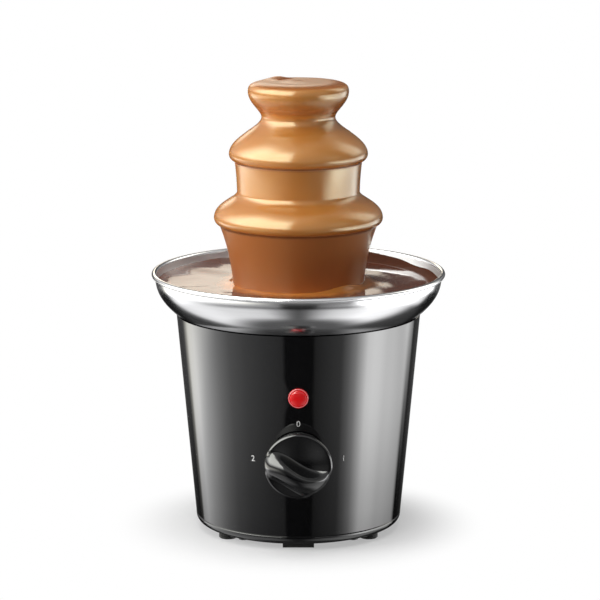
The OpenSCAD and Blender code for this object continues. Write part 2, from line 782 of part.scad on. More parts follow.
module thermostat() {
    color([0.9, 0.88, 0.82]) translate([0, -thermostat_y, heater_z - thermostat_h]) {
        cylinder(r = thermostat_r, h = thermostat_h);
        for (x = [-1, 1]) translate([x * thermostat_r / 2 - blade[1] / 2, -blade[0] / 2, -thermostat_blade])
            cube([blade[1], blade[0], thermostat_blade + eps]);
    }
}

module thermal_fuse() {
    color([0.9, 0.9, 0.9]) rotate(fuse_angle) translate([fuse_ring, 0, heater_z]) union() {
        translate([0, fuse_len / 2, -fuse_r]) rotate([90, 0, 0]) cylinder(r = fuse_r, h = fuse_len);
        translate([-fuse_r - fuse_clip, -fuse_clip, -fuse_r])
            cube([2 * (fuse_r + fuse_clip), 2 * fuse_clip, fuse_r]);
    }
}

module clamp_spacers() {
    color("silver") ring(clamp_angles, clamp_ring_r) translate([0, 0, plate_top_z])
        tube(spacer_r, m4_r + screw_gap, spacer_h);
}

module clamp_screws() {
    color("silver") ring(clamp_angles, clamp_ring_r) translate([0, 0, plate_z]) rotate([180, 0, 0])
        screw(m4_r, bracket_t + spacer_h + clamp_grip);
}

// Bracket and gear case
module bracket() {
    color([0.6, 0.6, 0.6]) translate([0, 0, plate_z]) difference() {
        cylinder(r = bracket_r, h = bracket_t);
        translate([0, 0, -through]) {
            cylinder(r = bush_r + seat_fit, h = bracket_t + 2 * through);
            ring(clamp_angles, clamp_ring_r) cylinder(r = m4_r + screw_gap, h = bracket_t + 2 * through);
            ring(boss_angles, boss_ring_r) cylinder(r = m3_r + screw_gap, h = bracket_t + 2 * through);
            ring(wire_hole_angles, wire_hole_ring) cylinder(r = wire_hole_r, h = bracket_t + 2 * through);
            translate(idler_at) cylinder(r = idler_pin_r + seat_fit, h = bracket_t + 2 * through);
            for (p = ears) translate(p) cylinder(r = m3_r + screw_gap, h = bracket_t + 2 * through);
            translate([-holder_r - holder_room, -bracket_r - through, 0])
                cube([2 * (holder_r + holder_room), bracket_r + through - holder_end_y + holder_room,
                    bracket_t + 2 * through]);
        }
    }
}

module bracket_screws() {
    color("silver") ring(boss_angles, boss_ring_r) translate([0, 0, plate_z]) rotate([180, 0, 0])
        screw(m3_r, bracket_t + boss_h - boss_blind);
}

module case_lobes(inset, h) {
    cylinder(r = drive_lobe_r - inset, h = h);
    translate(idler_at) cylinder(r = idler_lobe_r - inset, h = h);
    translate(motor_at) cylinder(r = motor_lobe_r - inset, h = h);
}

module gear_case() {
    color([0.85, 0.85, 0.82]) translate([0, 0, case_z]) difference() {
        union() {
            difference() {
                union() {
                    case_lobes(0, case_h);
                    for (p = ears) translate(p) cylinder(r = ear_r, h = case_h);
                }
                translate([0, 0, case_wall]) case_lobes(case_wall, case_h);
            }
            translate(idler_at) cylinder(r = idler_boss_r, h = layer_a_z - case_z - axial_play);
        }
        translate([0, 0, -through]) cylinder(r = bush_r + seat_fit, h = case_wall + 2 * through);
        translate([idler_at[0], idler_at[1], case_wall / 2]) cylinder(r = idler_pin_r + seat_fit, h = case_h);
        translate([motor_at[0], motor_at[1], -through]) {
            cylinder(r = motor_nose_r + seat_fit, h = case_wall + 2 * through);
            ring(motor_screw_dirs, motor_screw_off)
                cylinder(r = m3_r + screw_gap, h = case_wall + 2 * through);
        }
        for (p = ears) translate([p[0], p[1], case_h - ear_hole_h]) cylinder(r = m3_r + seat_fit, h = case_h);
    }
}

module case_screws() {
    color("silver") for (p = ears) translate([p[0], p[1], plate_top_z])
        screw(m3_r, bracket_t + ear_hole_h - through);
}

module upper_bush() {
    color([0.75, 0.6, 0.35]) turned([[shaft_r + turn_fit, plate_z], [bush_r, plate_z], [bush_r, plate_top_z],
        [upper_flange_r, plate_top_z], [upper_flange_r, plate_top_z + bush_flange_t],
        [shaft_r + turn_fit, plate_top_z + bush_flange_t]]);
}

module lower_bush() {
    color([0.75, 0.6, 0.35]) turned([[shaft_r + turn_fit, case_z], [bush_r, case_z],
        [bush_r, case_z + case_wall],
        [lower_flange_r, case_z + case_wall], [lower_flange_r, case_z + case_wall + bush_flange_t],
        [shaft_r + turn_fit, case_z + case_wall + bush_flange_t]]);
}

module idler_pin() {
    pin_z = case_z + case_wall / 2;
    color("silver") translate([idler_at[0], idler_at[1], pin_z])
        cylinder(r = idler_pin_r, h = plate_top_z - pin_z);
}

module idler_gear() {
    color([0.92, 0.92, 0.88]) translate([idler_at[0], idler_at[1], layer_a_z]) difference() {
        union() {
            gear(idler_teeth, gear_w, motor_angle);
            gear(idler_pinion_teeth, layer_b_z + gear_w - layer_a_z,
                gap_phase(idler_dir, idler_pinion_teeth));
            cylinder(r = idler_boss_r, h = gear_top_z - layer_a_z);
        }
        translate([0, 0, -through]) cylinder(r = idler_pin_r + turn_fit, h = case_h);
    }
}

module drive_gear() {
    color([0.92, 0.92, 0.88]) translate([0, 0, layer_b_z]) difference() {
        union() {
            gear(drive_teeth, gear_w, idler_dir);
            cylinder(r = upper_flange_r, h = gear_top_z - layer_b_z);
        }
        translate([0, 0, -through]) cylinder(r = shaft_r + seat_fit, h = case_h);
    }
}

module drive_shaft() {
    color("silver") union() {
        translate([0, 0, case_z + axial_play]) cylinder(r = shaft_r, h = square_z - case_z - axial_play);
        translate([-shaft_square / 2, -shaft_square / 2, square_z - eps])
            cube([shaft_square, shaft_square, square_h + eps]);
    }
}

// Motor
module at_motor(z) {
    translate([motor_at[0], motor_at[1], z]) children();
}

module motor_can() {
    color([0.7, 0.7, 0.7]) at_motor(motor_z) difference() {
        union() {
            translate([0, 0, cap_t]) cylinder(r = motor_r, h = motor_h - cap_t);
            translate([0, 0, motor_h - eps]) cylinder(r = motor_nose_r, h = case_wall + eps);
        }
        translate([0, 0, cap_t - through])
            cylinder(r = motor_r - motor_wall, h = motor_h - cap_t - motor_top_t + through);
        cylinder(r = rotor_shaft_r + turn_fit, h = motor_h + case_h);
        translate([0, 0, motor_h - motor_top_t - through]) ring(motor_screw_dirs, motor_screw_off)
            cylinder(r = m3_r + seat_fit, h = motor_top_t + 2 * through);
    }
}

module motor_cap() {
    color([0.2, 0.2, 0.2]) at_motor(motor_z) difference() {
        union() {
            cylinder(r = motor_r, h = cap_t);
            translate([0, 0, cap_t - eps])
                cylinder(r = motor_r - motor_wall - seat_fit, h = cap_spigot_h + eps);
        }
        translate([0, 0, cap_t / 2]) cylinder(r = rotor_shaft_r + turn_fit, h = motor_h);
    }
}

module motor_rotor() {
    rotor_z = motor_z + cap_t + rotor_foot;
    shaft_z = motor_z + cap_t / 2 + axial_play;
    color([0.6, 0.35, 0.2]) union() {
        at_motor(shaft_z) cylinder(r = rotor_shaft_r, h = layer_a_z + gear_w - shaft_z);
        at_motor(rotor_z) cylinder(r = motor_r - motor_wall - rotor_gap, h = case_z - rotor_z - rotor_head);
    }
}

module motor_pinion() {
    color("goldenrod") at_motor(layer_a_z) difference() {
        gear(pinion_teeth, gear_w + pinion_proud, gap_phase(motor_angle, pinion_teeth));
        translate([0, 0, -through]) cylinder(r = rotor_shaft_r + seat_fit, h = case_h);
    }
}

module motor_screws() {
    color("silver") at_motor(case_z + case_wall) ring(motor_screw_dirs, motor_screw_off)
        screw(m3_r, case_wall + motor_top_t);
}

// Switch and knob
module switch_body() {
    color([0.12, 0.12, 0.12]) on_panel(knob_z) difference() {
        union() {
            translate([-switch_side / 2, -switch_side / 2, -switch_front - switch_depth])
                cube([switch_side, switch_side, switch_depth]);
            translate([0, 0, -switch_front - eps])
                cylinder(r = switch_boss_r, h = switch_front - switch_boss_z + eps);
            translate([0, 0, -switch_boss_z - eps])
                cylinder(r = switch_bush_r, h = switch_boss_z + switch_bush_z + eps);
        }
        translate([0, 0, -switch_front - switch_bore_h])
            cylinder(r = switch_shaft_r + turn_fit,
                h = switch_front + switch_bore_h + switch_bush_z + through);
    }
}

module switch_terminals() {
    color([0.85, 0.75, 0.45]) on_panel(knob_z) translate([0, 0, -switch_front - switch_depth - blade[2]])
        for (x = [-1, 1], y = [-1, 1])
            translate([x * blade_ring - blade[0] / 2, y * blade_ring, 0]) cube(blade);
}

module switch_nut() {
    color("silver") on_panel(knob_z) translate([0, 0, panel_lift]) difference() {
        hex(switch_nut_across, switch_nut_h);
        translate([0, 0, -through]) cylinder(r = switch_bush_r + seat_fit, h = switch_nut_h + 2 * through);
    }
}

module switch_shaft() {
    foot = switch_front + switch_bore_h - shaft_end_gap;
    color("silver") on_panel(knob_z) difference() {
        translate([0, 0, -foot]) cylinder(r = switch_shaft_r, h = foot + knob_bore_z - shaft_end_gap);
        translate([shaft_flat, -switch_shaft_r, switch_bush_z + eps])
            cube([switch_shaft_r, 2 * switch_shaft_r, knob_bore_z]);
    }
}

module knob() {
    color([0.03, 0.03, 0.03]) on_panel(knob_z) difference() {
        union() {
            turned(concat([[0, knob_floor_z - knob_wall], [knob_hub_r, knob_floor_z - knob_wall],
                [knob_back_r - knob_wall, knob_rim_z - knob_wall], [knob_back_r - knob_wall, knob_gap],
                [knob_back_r, knob_gap], [knob_r, knob_rim_z]],
                arc([knob_r - knob_edge, knob_face - knob_edge], knob_edge, 0, 90, arc_steps),
                [[0, knob_floor_z]]));
            translate([0, 0, knob_hub_z]) cylinder(r = knob_hub_r, h = knob_floor_z - knob_hub_z - eps);
            intersection() {
                translate([0, 0, knob_floor_z - knob_wall]) linear_extrude(knob_reach)
                    polygon(concat(bez_path(grip_upper, grip_steps),
                        reverse(bez_path(grip_lower, grip_steps))));
                turned(concat([[0, knob_rim_z]], [[knob_r - eps, knob_rim_z]],
                    arc([knob_r - eps - grip_edge, knob_reach - knob_crown - grip_edge],
                        grip_edge, 0, grip_edge_end, arc_steps),
                    [[0, knob_reach]]));
            }
        }
        difference() {
            cylinder(r = switch_shaft_r + seat_fit, h = knob_bore_z);
            translate([shaft_flat + seat_fit, -knob_hub_r, 0])
                cube([knob_hub_r, 2 * knob_hub_r, knob_bore_z]);
        }
    }
}

// Lamp
module lamp_lens() {
    color([0.8, 0.05, 0.03]) on_panel(lamp_z) turned([[lens_barrel_r - lens_barrel_wall, -lens_barrel_h],
        [lens_barrel_r, -lens_barrel_h], [lens_barrel_r, panel_lift], [lens_r, panel_lift],
        [lens_r, lens_flange - lens_bevel], [lens_r - lens_bevel, lens_flange], [lens_face_r, lens_flange],
        [lens_face_r - lens_bevel, lens_flange + lens_bevel], [0, lens_flange + lens_dome],
        [0, panel_lift], [lens_barrel_r - lens_barrel_wall, panel_lift]]);
}

module lamp_holder() {
    color([0.85, 0.85, 0.82]) on_panel(lamp_z) translate([0, 0, -holder_front - holder_h]) difference() {
        cylinder(r = holder_r, h = holder_h);
        translate([0, 0, holder_h - lens_barrel_h + holder_front - seat_fit])
            cylinder(r = lens_barrel_r + seat_fit, h = holder_h);
    }
}

module neon_lamp() {
    color([1, 0.6, 0.3]) on_panel(lamp_z) translate([0, 0, -lens_barrel_h - seat_fit]) {
        cylinder(r = neon_r, h = neon_h - neon_r);
        translate([0, 0, neon_h - neon_r]) sphere(r = neon_r);
    }
}

// Tower
module tower_tube() {
    color([0.75, 0.75, 0.75]) difference() {
        turned([[tube_bore_r, floor_z], [flange_r, floor_z], [flange_r, floor_z + flange_t],
            [tube_r + 3 * tube_step, floor_z + flange_t], [tube_r + 3 * tube_step, lower_seat_z],
            [tube_r + 2 * tube_step, lower_seat_z], [tube_r + 2 * tube_step, upper_seat_z],
            [tube_r + tube_step, upper_seat_z], [tube_r + tube_step, crown_seat_z],
            [tube_r, crown_seat_z], [tube_r, tube_top_z], [tube_bore_r, tube_top_z]]);
        ring(stud_angles, stud_ring_r)
            translate([0, 0, floor_z - through]) cylinder(r = stud_r + lift_fit, h = flange_t + 2 * through);
        for (a = stud_angles) rotate(a + inlet_turn)
            translate([0, -inlet_w / 2, floor_z + flange_t]) cube([flange_r, inlet_w, inlet_h]);
    }
}

// A spun canopy: the skirt under the film, a web to the tube and a sleeve that stands on a step of the tube
module canopy(curve, from, rise, bore, sleeve_z) {
    top_out = bez_at(curve, from, metal_out);
    top_in = bez_at(curve, from, metal_in);
    mid = (top_out + top_in) / 2;
    web_top = mid[1] + rise;
    turned(concat(bez_path(curve, curve_steps, metal_out, from),
        reverse(bez_path(curve, curve_steps, metal_in, from))));
    turned([[bore, sleeve_z], [bore + collar_w, sleeve_z], [bore + collar_w, web_top - canopy_wall],
        [mid[0], mid[1] - canopy_wall], mid, [bore, web_top]]);
}

module lower_canopy() {
    color([0.75, 0.75, 0.75]) canopy(lower_skirt, 0, lower_cone_rise,
        tube_r + 2 * tube_step + collar_fit, lower_seat_z);
}

module upper_canopy() {
    color([0.75, 0.75, 0.75]) canopy(upper_skirt, upper_skirt_from, 0,
        tube_r + tube_step + collar_fit, upper_seat_z);
}

module crown() {
    bore = tube_r + collar_fit;
    foot = (bez_at(crown_under, 1, metal_out) + bez_at(crown_under, 1, metal_in)) / 2;
    color([0.75, 0.75, 0.75]) union() {
        turned(concat([[crown_out_r, crown_rim_z]], bez_path(crown_under, curve_steps, metal_out),
            reverse(bez_path(crown_under, curve_steps, metal_in)), [[crown_in_r, crown_rim_z]]));
        turned([[bore, crown_seat_z], [foot[0], crown_seat_z], [foot[0], crown_seat_z + canopy_wall],
            [bore + collar_w, crown_seat_z + canopy_wall], [bore + collar_w, crown_seat_z + crown_collar_h],
            [bore, crown_seat_z + crown_collar_h]]);
    }
}

// Screw: a core with a square socket, and a flight swept along a helix
function flight_ring(i) = let (a = i * 360 / flight_sides,
    z = flight_z + (flight_top_z - flight_z - flight_t) * i / flight_rings)
    [for (p = [[core_r - flight_root, 0], [flight_r, 0],
        [flight_r, flight_t], [core_r - flight_root, flight_t]]) [p[0] * cos(a), p[0] * sin(a), z + p[1]]];
module flight() {
    last = flight_rings * 4;
    polyhedron([for (i = [0 : flight_rings]) each flight_ring(i)], concat(
        [[0, 2, 1], [0, 3, 2], [last, last + 1, last + 2], [last, last + 2, last + 3]],
        [for (i = [0 : flight_rings - 1], k = [0 : 3]) let (a = 4 * i + k, b = 4 * i + (k + 1) % 4)
            each [[a, b + 4, a + 4], [a, b, b + 4]]]));
}

module auger() {
    socket = shaft_square + 2 * lift_fit;
    color([0.93, 0.92, 0.88]) difference() {
        union() {
            translate([0, 0, auger_z]) cylinder(r = core_r, h = auger_top_z - auger_z);
            flight();
        }
        translate([-socket / 2, -socket / 2, auger_z - through])
            cube([socket, socket, square_z + square_h + lift_fit - auger_z + through]);
    }
}

// Chocolate
module chocolate_flow() {
    color([0.55, 0.28, 0.12]) turned(concat([[well_r, fill_z], [well_r, top_z]],
        bez_path(crown_shoulder, curve_steps), tail(flow_path(0)), reverse(flow_path(-film)),
        [[crown_r - film, crown_rim_z + film_gap], [crown_in_r - film_gap, crown_rim_z + film_gap],
        [crown_in_r - fill_inset, fill_z]]));
}

module chocolate_swirl() {
    swirl_r = well_r - swirl_gap;
    color([0.55, 0.28, 0.12]) turned(concat([[0, auger_top_z], [swirl_r, auger_top_z]],
        bez_path([[swirl_r, top_z - swirl_edge], [swirl_r, top_z], [swirl_r / 2, top_z + swirl_rise],
        [0, top_z + swirl_rise]], curve_steps)));
}

module chocolate_pool() {
    side = [for (p = bowl_path(-bowl_sheet - film_gap)) if (p[1] < pool_z - through) p];
    heights = [for (p = reverse(bowl_path(-bowl_sheet - film_gap))) [p[1], p[0]]];
    pool_r = lookup(pool_z, heights);
    hole_r = flange_r + lift_fit;
    color([0.25, 0.1, 0.05]) turned(concat([[hole_r, pool_z], [pool_r, pool_z]], side,
        [[hole_r, floor_z + film_gap]]));
}

body_shell();
base_cover();
round_feet();
end_feet();
cover_screws();
cord_grommet();
terminal_block();
bowl();
bowl_gasket();
shaft_seal();
tower_studs();
stud_nuts();
heater_plate();
heater_element();
thermostat();
thermal_fuse();
clamp_spacers();
clamp_screws();
bracket();
bracket_screws();
gear_case();
case_screws();
upper_bush();
lower_bush();
idler_pin();
idler_gear();
drive_gear();
drive_shaft();
motor_can();
motor_cap();
motor_rotor();
motor_pinion();
motor_screws();
switch_body();
switch_terminals();
switch_nut();
switch_shaft();
knob();
lamp_lens();
lamp_holder();
neon_lamp();
tower_tube();
lower_canopy();
upper_canopy();
crown();
auger();
chocolate_flow();
chocolate_swirl();
chocolate_pool();
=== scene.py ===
"""Dresses a table-top chocolate fountain: the flowing chocolate, the spun bowl, the gloss housing and its knob."""

import json
import math

import bmesh
import bpy
import numpy as np
from bpy.props import FloatProperty, FloatVectorProperty, IntProperty, PointerProperty
from mathutils import Matrix, Vector


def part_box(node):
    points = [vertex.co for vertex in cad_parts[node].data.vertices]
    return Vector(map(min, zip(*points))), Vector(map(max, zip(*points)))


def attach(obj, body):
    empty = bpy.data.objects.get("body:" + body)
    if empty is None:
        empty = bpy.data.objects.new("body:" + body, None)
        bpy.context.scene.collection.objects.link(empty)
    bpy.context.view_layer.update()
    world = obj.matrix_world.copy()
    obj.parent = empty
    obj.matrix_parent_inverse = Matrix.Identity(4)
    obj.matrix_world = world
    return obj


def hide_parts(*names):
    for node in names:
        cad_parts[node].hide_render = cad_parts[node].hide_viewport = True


bl_info = {
    "name": "Chocolate Fountain",
    "version": (1, 0, 0),
    "blender": (4, 5, 0),
    "location": "View3D > Sidebar > Fountain",
    "description": "Dresses a table-top chocolate fountain and sets up its studio",
    "category": "Object",
}

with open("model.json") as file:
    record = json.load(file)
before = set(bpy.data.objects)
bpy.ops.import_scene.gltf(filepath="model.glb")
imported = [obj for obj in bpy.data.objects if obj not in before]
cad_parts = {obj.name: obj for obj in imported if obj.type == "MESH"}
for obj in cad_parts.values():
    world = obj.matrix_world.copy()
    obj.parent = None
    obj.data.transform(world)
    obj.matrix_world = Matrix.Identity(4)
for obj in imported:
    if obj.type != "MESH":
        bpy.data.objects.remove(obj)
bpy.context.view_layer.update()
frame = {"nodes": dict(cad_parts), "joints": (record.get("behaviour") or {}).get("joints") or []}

MM = 0.001


# Places taken from the frame

def node_top(name):
    """Height of a node's highest point."""
    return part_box(name)[1].z


def node_foot(name):
    """Height of a node's lowest point."""
    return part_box(name)[0].z


def node_radius(name):
    """Largest reach of a turned node from the fountain's axis."""
    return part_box(name)[1].x


def joint(name):
    """The record's entry for one joint."""
    return next(j for j in frame["joints"] if j["name"] == name)


KNOB_AXIS = Vector(joint("knob_turn")["axis"])
KNOB_PLACE = Vector(joint("knob_turn")["pos_m"])
TAPER = math.atan2(KNOB_AXIS.z, KNOB_AXIS.y)
SHELL_FOOT_Z = node_foot("body_shell")
SHELL_FOOT_R = node_radius("base_cover")


def shell_radius(z):
    """Outer radius of the housing's cone at a height."""
    return SHELL_FOOT_R + (z - SHELL_FOOT_Z) * math.tan(TAPER)


def on_panel(z, across=0.0, lift=0.0):
    """Frame on the housing's wall: x to the right, y up the wall, z out of it."""
    radius = shell_radius(z)
    turn = Matrix.Rotation(across / radius, 4, "Z")
    tilt = Matrix.Rotation(math.pi / 2 + TAPER, 4, "X")
    return turn @ Matrix.Translation((0, -radius, z)) @ tilt @ Matrix.Translation((0, 0, lift))


# Sizes and colours that a user would change

def length(name, description, millimetres):
    """A length property with its default in millimetres."""
    return FloatProperty(name=name, description=description, default=millimetres * MM, unit="LENGTH", precision=5)


def colour(name, description, rgb):
    """A colour property."""
    return FloatVectorProperty(name=name, description=description, default=rgb, subtype="COLOR", min=0, max=1)


class FountainFlow(bpy.types.PropertyGroup):
    """Outline of the flowing chocolate."""

    crown_r: length("Crown radius", "Widest ring of the crown", 31.4)
    crown_z: length("Crown height", "Height of the crown's widest ring", 277)
    neck_r: length("Neck radius", "Neck under the crown", 23)
    neck_z: length("Neck height", "Height of the neck under the crown", 261)
    upper_r: length("Upper tier radius", "Widest ring of the upper tier", 43.3)
    upper_z: length("Upper tier height", "Height of the upper tier's widest ring", 238)
    waist_r: length("Waist radius", "Upper curtain where it meets the lower tier", 38.3)
    waist_z: length("Waist height", "Height where the upper curtain meets the lower tier", 214.5)
    lower_r: length("Lower tier radius", "Widest ring of the lower tier", 52.8)
    lower_z: length("Lower tier height", "Height of the lower tier's widest ring", 198)
    foot_r: length("Curtain foot radius", "Lower curtain where it meets the pool", 41)
    film: length("Film", "Thickness of the chocolate's film", 1.8)
    well_r: length("Well radius", "Well that the swirl turns in", 14.4)
    swirl_r: length("Swirl radius", "Reach of the swirl over the crown", 16.5)
    sides: IntProperty(name="Sides", description="Steps round the axis", default=256, min=32)


class FountainBowl(bpy.types.PropertyGroup):
    """Outline of the spun bowl and of the pool in it."""

    bead_r: length("Bead radius", "Rolled rim's bead", 1.6)
    sheet: length("Sheet", "Thickness of the bowl's sheet", 1)
    shoulder_r: length("Shoulder radius", "Bowl where it enters the housing", 77)
    shoulder_z: length("Shoulder height", "Height where the bowl enters the housing", 138.6)
    floor_r: length("Floor radius", "Bowl's flat floor", 46)
    ripple: length("Ripple", "Height of the pool's ripples", 0.28)
    climb: length("Climb", "How far the chocolate climbs the bowl's wall", 2.2)
    sides: IntProperty(name="Sides", description="Steps round the axis", default=256, min=32)


class FountainKnob(bpy.types.PropertyGroup):
    """Shape of the wavy knob."""

    radius: length("Radius", "Knob's largest radius", 20.7)
    face: length("Face", "Reach of the rim from the housing", 11.5)
    reach: length("Reach", "Reach of the grip from the housing", 19.5)
    dish: length("Dish", "Depth of the scoops beside the grip", 2.2)
    edge: length("Edge", "Rounding of the rim", 1.5)
    sag: length("Sag", "Fall of the grip's crest from its middle to its ends", 8.5)
    flank: length("Flank", "Width of the grip's sloping flank", 4.6)
    crest: length("Crest", "Fall of the grip's top towards its edges", 0.7)
    lean: length("Lean", "Upward turn of the grip's left end", 0.8)


class FountainColours(bpy.types.PropertyGroup):
    """Colours of the fountain's finishes."""

    caramel: colour("Caramel", "Flowing chocolate where it is thin", (0.54, 0.212, 0.044))
    # shaded_cocoa is painted shade: the darker colour down the lower curtain and under the crown.
    shaded_cocoa: colour("Cocoa", "Flowing chocolate where it is thick", (0.42, 0.14, 0.038))
    # dark is painted shade: the dark band painted under each lip.
    dark: colour("Dark", "Flowing chocolate gathered under the lips", (0.19, 0.06, 0.02))
    pool: colour("Pool", "Chocolate in the bowl", (0.14, 0.048, 0.028))
    black: colour("Housing", "Gloss black plastic", (0.004, 0.004, 0.0045))
    steel: colour("Steel", "Spun steel", (0.65, 0.65, 0.66))
    lens: colour("Lens", "Lit red lens", (0.70, 0.006, 0.008))
    print: colour("Print", "Printed numbers", (0.80, 0.80, 0.78))
    rubber: colour("Rubber", "Feet and grommet", (0.012, 0.012, 0.012))
    nylon: colour("Nylon", "Gears and screw", (0.72, 0.70, 0.62))
    bronze: colour("Bronze", "Bushes and terminals", (0.50, 0.33, 0.13))
    zinc: colour("Zinc", "Plated screws and sheet", (0.58, 0.59, 0.60))
    ceramic: colour("Ceramic", "Thermostat and fuse", (0.74, 0.70, 0.60))


def flow():
    """Sizes of the flowing chocolate."""
    return bpy.context.scene.fountain_flow


def bowl():
    """Sizes of the bowl and its pool."""
    return bpy.context.scene.fountain_bowl


def knob():
    """Sizes of the knob."""
    return bpy.context.scene.fountain_knob


def paint(name):
    """One of the fountain's colours."""
    return tuple(getattr(bpy.context.scene.fountain_colours, name))


# Curves in the (radius, height) plane, run from top to bottom

def bezier(points, steps, start=0.0):
    """Points and unit outward normals along a cubic curve."""
    p = np.array(points, float)
    t = np.linspace(start, 1.0, steps + 1)[:, None]
    along = (1 - t) ** 3 * p[0] + 3 * t * (1 - t) ** 2 * p[1] + 3 * t * t * (1 - t) * p[2] + t ** 3 * p[3]
    slope = (1 - t) ** 2 * (p[1] - p[0]) + 2 * t * (1 - t) * (p[2] - p[1]) + t * t * (p[3] - p[2])
    normal = np.stack([-slope[:, 1], slope[:, 0]], 1)
    return along, normal / np.linalg.norm(normal, axis=1)[:, None]


def run(curves, shift, steps):
    """Joins curves into one path, moved along its outward normal."""
    parts = []
    for curve in curves:
        along, normal = bezier(curve, steps)
        parts.append(along + shift * normal)
    return np.concatenate(parts)


def arc(centre, radius, start, end, steps):
    """Points on a circle, angles in degrees."""
    a = np.radians(np.linspace(start, end, steps + 1))
    return np.array(centre) + radius * np.stack([np.cos(a), np.sin(a)], 1)


def smooth(low, high, x):
    """Smooth step from 0 at low to 1 at high."""
    t = np.clip((x - low) / (high - low), 0, 1)
    return t * t * (3 - 2 * t)


def lobe(angle, place, width):
    """1 at a place round the axis, in degrees, falling to 0 within about two widths."""
    return math.exp(-(2 * math.sin((angle - math.radians(place)) / 2) / width) ** 2)


# Meshes

def mesh_piece(name, points, faces, sharp=40):
    """A smooth-shaded object from points and faces, with creases sharper than an angle kept."""
    mesh = bpy.data.meshes.new(name)
    mesh.from_pydata([tuple(p) for p in points], [], faces)
    work = bmesh.new()
    work.from_mesh(mesh)
    bmesh.ops.remove_doubles(work, verts=work.verts, dist=0.002 * MM)
    bmesh.ops.recalc_face_normals(work, faces=work.faces)
    work.to_mesh(mesh)
    work.free()
    mesh.polygons.foreach_set("use_smooth", [True] * len(mesh.polygons))
    mesh.set_sharp_from_angle(angle=math.radians(sharp))
    piece = bpy.data.objects.new(name, mesh)
    bpy.context.scene.collection.objects.link(piece)
    return piece


def turned(outline, sides, shape=None, place=None):
    """Points and faces of a closed outline turned about Z. shape(angle, points) may move each section."""
    outline = np.array(outline, float)
    count = len(outline)
    points = np.zeros((sides, count, 3))
    for i in range(sides):
        angle = 2 * math.pi * i / sides
        section = outline if shape is None else shape(angle, outline.copy())
        points[i, :, 0] = section[:, 0] * math.cos(angle)
        points[i, :, 1] = section[:, 0] * math.sin(angle)
        points[i, :, 2] = section[:, 1]
    points = points.reshape(-1, 3)
    if place is not None:
        points = points @ np.array(place.to_3x3()).T + np.array(place.translation)
    faces = []
    for i in range(sides):
        j = (i + 1) % sides
        for k in range(count):
            m = (k + 1) % count
            faces.append((i * count + k, j * count + k, j * count + m, i * count + m))
    return points, faces


def settle(piece, material, body, node):
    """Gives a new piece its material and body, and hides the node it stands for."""
    piece.data.materials.append(material)
    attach(piece, body)
    if node:
        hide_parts(node)
    return piece


def second_finish(piece, material, chosen):
    """Gives a piece's chosen faces a material of their own."""
    piece.data.materials.append(material)
    for polygon in piece.data.polygons:
        polygon.material_index = int(chosen(polygon))


def coat_nodes(material, *names):
    """Gives nodes of the frame a material."""
    for name in names:
        for slot in frame["nodes"][name].material_slots:
            slot.material = material


# Shader tools

def add(tree, kind, inputs=None, **settings):
    """A node with its settings, and its inputs set or linked."""
    made = tree.nodes.new(kind)
    for key, value in settings.items():
        setattr(made, key, value)
    for key, value in (inputs or {}).items():
        socket = made.inputs[key]
        if isinstance(value, bpy.types.NodeSocket):
            tree.links.new(value, socket)
        else:
            socket.default_value = value
    return made


def maths(tree, operation, a, b=0.0, clamp=False):
    """Result socket of a Math node."""
    return add(tree, "ShaderNodeMath", {0: a, 1: b}, operation=operation, use_clamp=clamp).outputs[0]


def spread(tree, value, low, high):
    """Result socket of a Map Range from 0..1 to low..high."""
    made = add(tree, "ShaderNodeMapRange", {"Value": value, "To Min": low, "To Max": high})
    return made.outputs["Result"]


def step(tree, value, low, high):
    """Result socket of a smooth step from 0 at low to 1 at high."""
    made = add(tree, "ShaderNodeMapRange", {"Value": value, "From Min": low, "From Max": high},
               interpolation_type="SMOOTHSTEP")
    return made.outputs["Result"]


def blend(tree, share, a, b):
    """Result socket that runs from a to b as the share goes from 0 to 1."""
    return add(tree, "ShaderNodeMix", {"Factor": share, 2: a, 3: b}).outputs[0]


def mix_colours(tree, share, a, b):
    """Colour socket that runs from a to b as the share goes from 0 to 1."""
    return add(tree, "ShaderNodeMix", {"Factor": share, 6: a, 7: b}, data_type="RGBA").outputs[2]


def greys(tree, value, stops):
    """Grey socket that follows a value through stops at places from 0 to 1."""
    made = add(tree, "ShaderNodeValToRGB", {"Fac": value})
    places = made.color_ramp.elements
    while len(places) < len(stops):
        places.new(0.5)
    for place, (at, grey) in zip(places, stops):
        place.position = at
        place.color = (grey, grey, grey, 1)
    return made.outputs["Color"]


def noise(tree, where, scale, detail, distortion=0.0):
    """Noise socket from 0 to 1."""
    made = add(tree, "ShaderNodeTexNoise", {
        "Vector": where, "Scale": scale, "Detail": detail, "Distortion": distortion})
    return made.outputs["Fac"]


def vector(tree, operation, a, **inputs):
    """Vector socket of a Vector Math node."""
    return add(tree, "ShaderNodeVectorMath", {0: a, **inputs}, operation=operation).outputs["Vector"]


def joined(tree, *parts):
    """Vector socket made of up to three parts."""
    return add(tree, "ShaderNodeCombineXYZ", dict(enumerate(parts))).outputs[0]


def parted(tree, where):
    """The three part sockets of a vector."""
    return add(tree, "ShaderNodeSeparateXYZ", {0: where}).outputs


def size_of(tree, where):
    """Socket of a vector's length."""
    return add(tree, "ShaderNodeVectorMath", {0: where}, operation="LENGTH").outputs["Value"]


def place_on(tree):
    """Socket of the place on the object."""
    return add(tree, "ShaderNodeTexCoord").outputs["Object"]


def about(tree, middle, reach, pattern):
    """Socket that varies about a middle as a pattern goes from 0 to 1."""
    low, high = maths(tree, "SUBTRACT", middle, reach), maths(tree, "ADD", middle, reach)
    return spread(tree, pattern, low, high)


def tinted(tree, given, pattern):
    """The given colour, a little darker and lighter with a pattern."""
    value = about(tree, 1.0, given["Tint"], pattern)
    return add(tree, "ShaderNodeHueSaturation", {"Color": given["Color"], "Value": value}).outputs["Color"]


def uneven(tree, given, pattern):
    """The given roughness, a little lower and higher with a pattern."""
    return about(tree, given["Roughness"], given["Unevenness"], pattern)


# Shader groups: each returns the sockets of its results

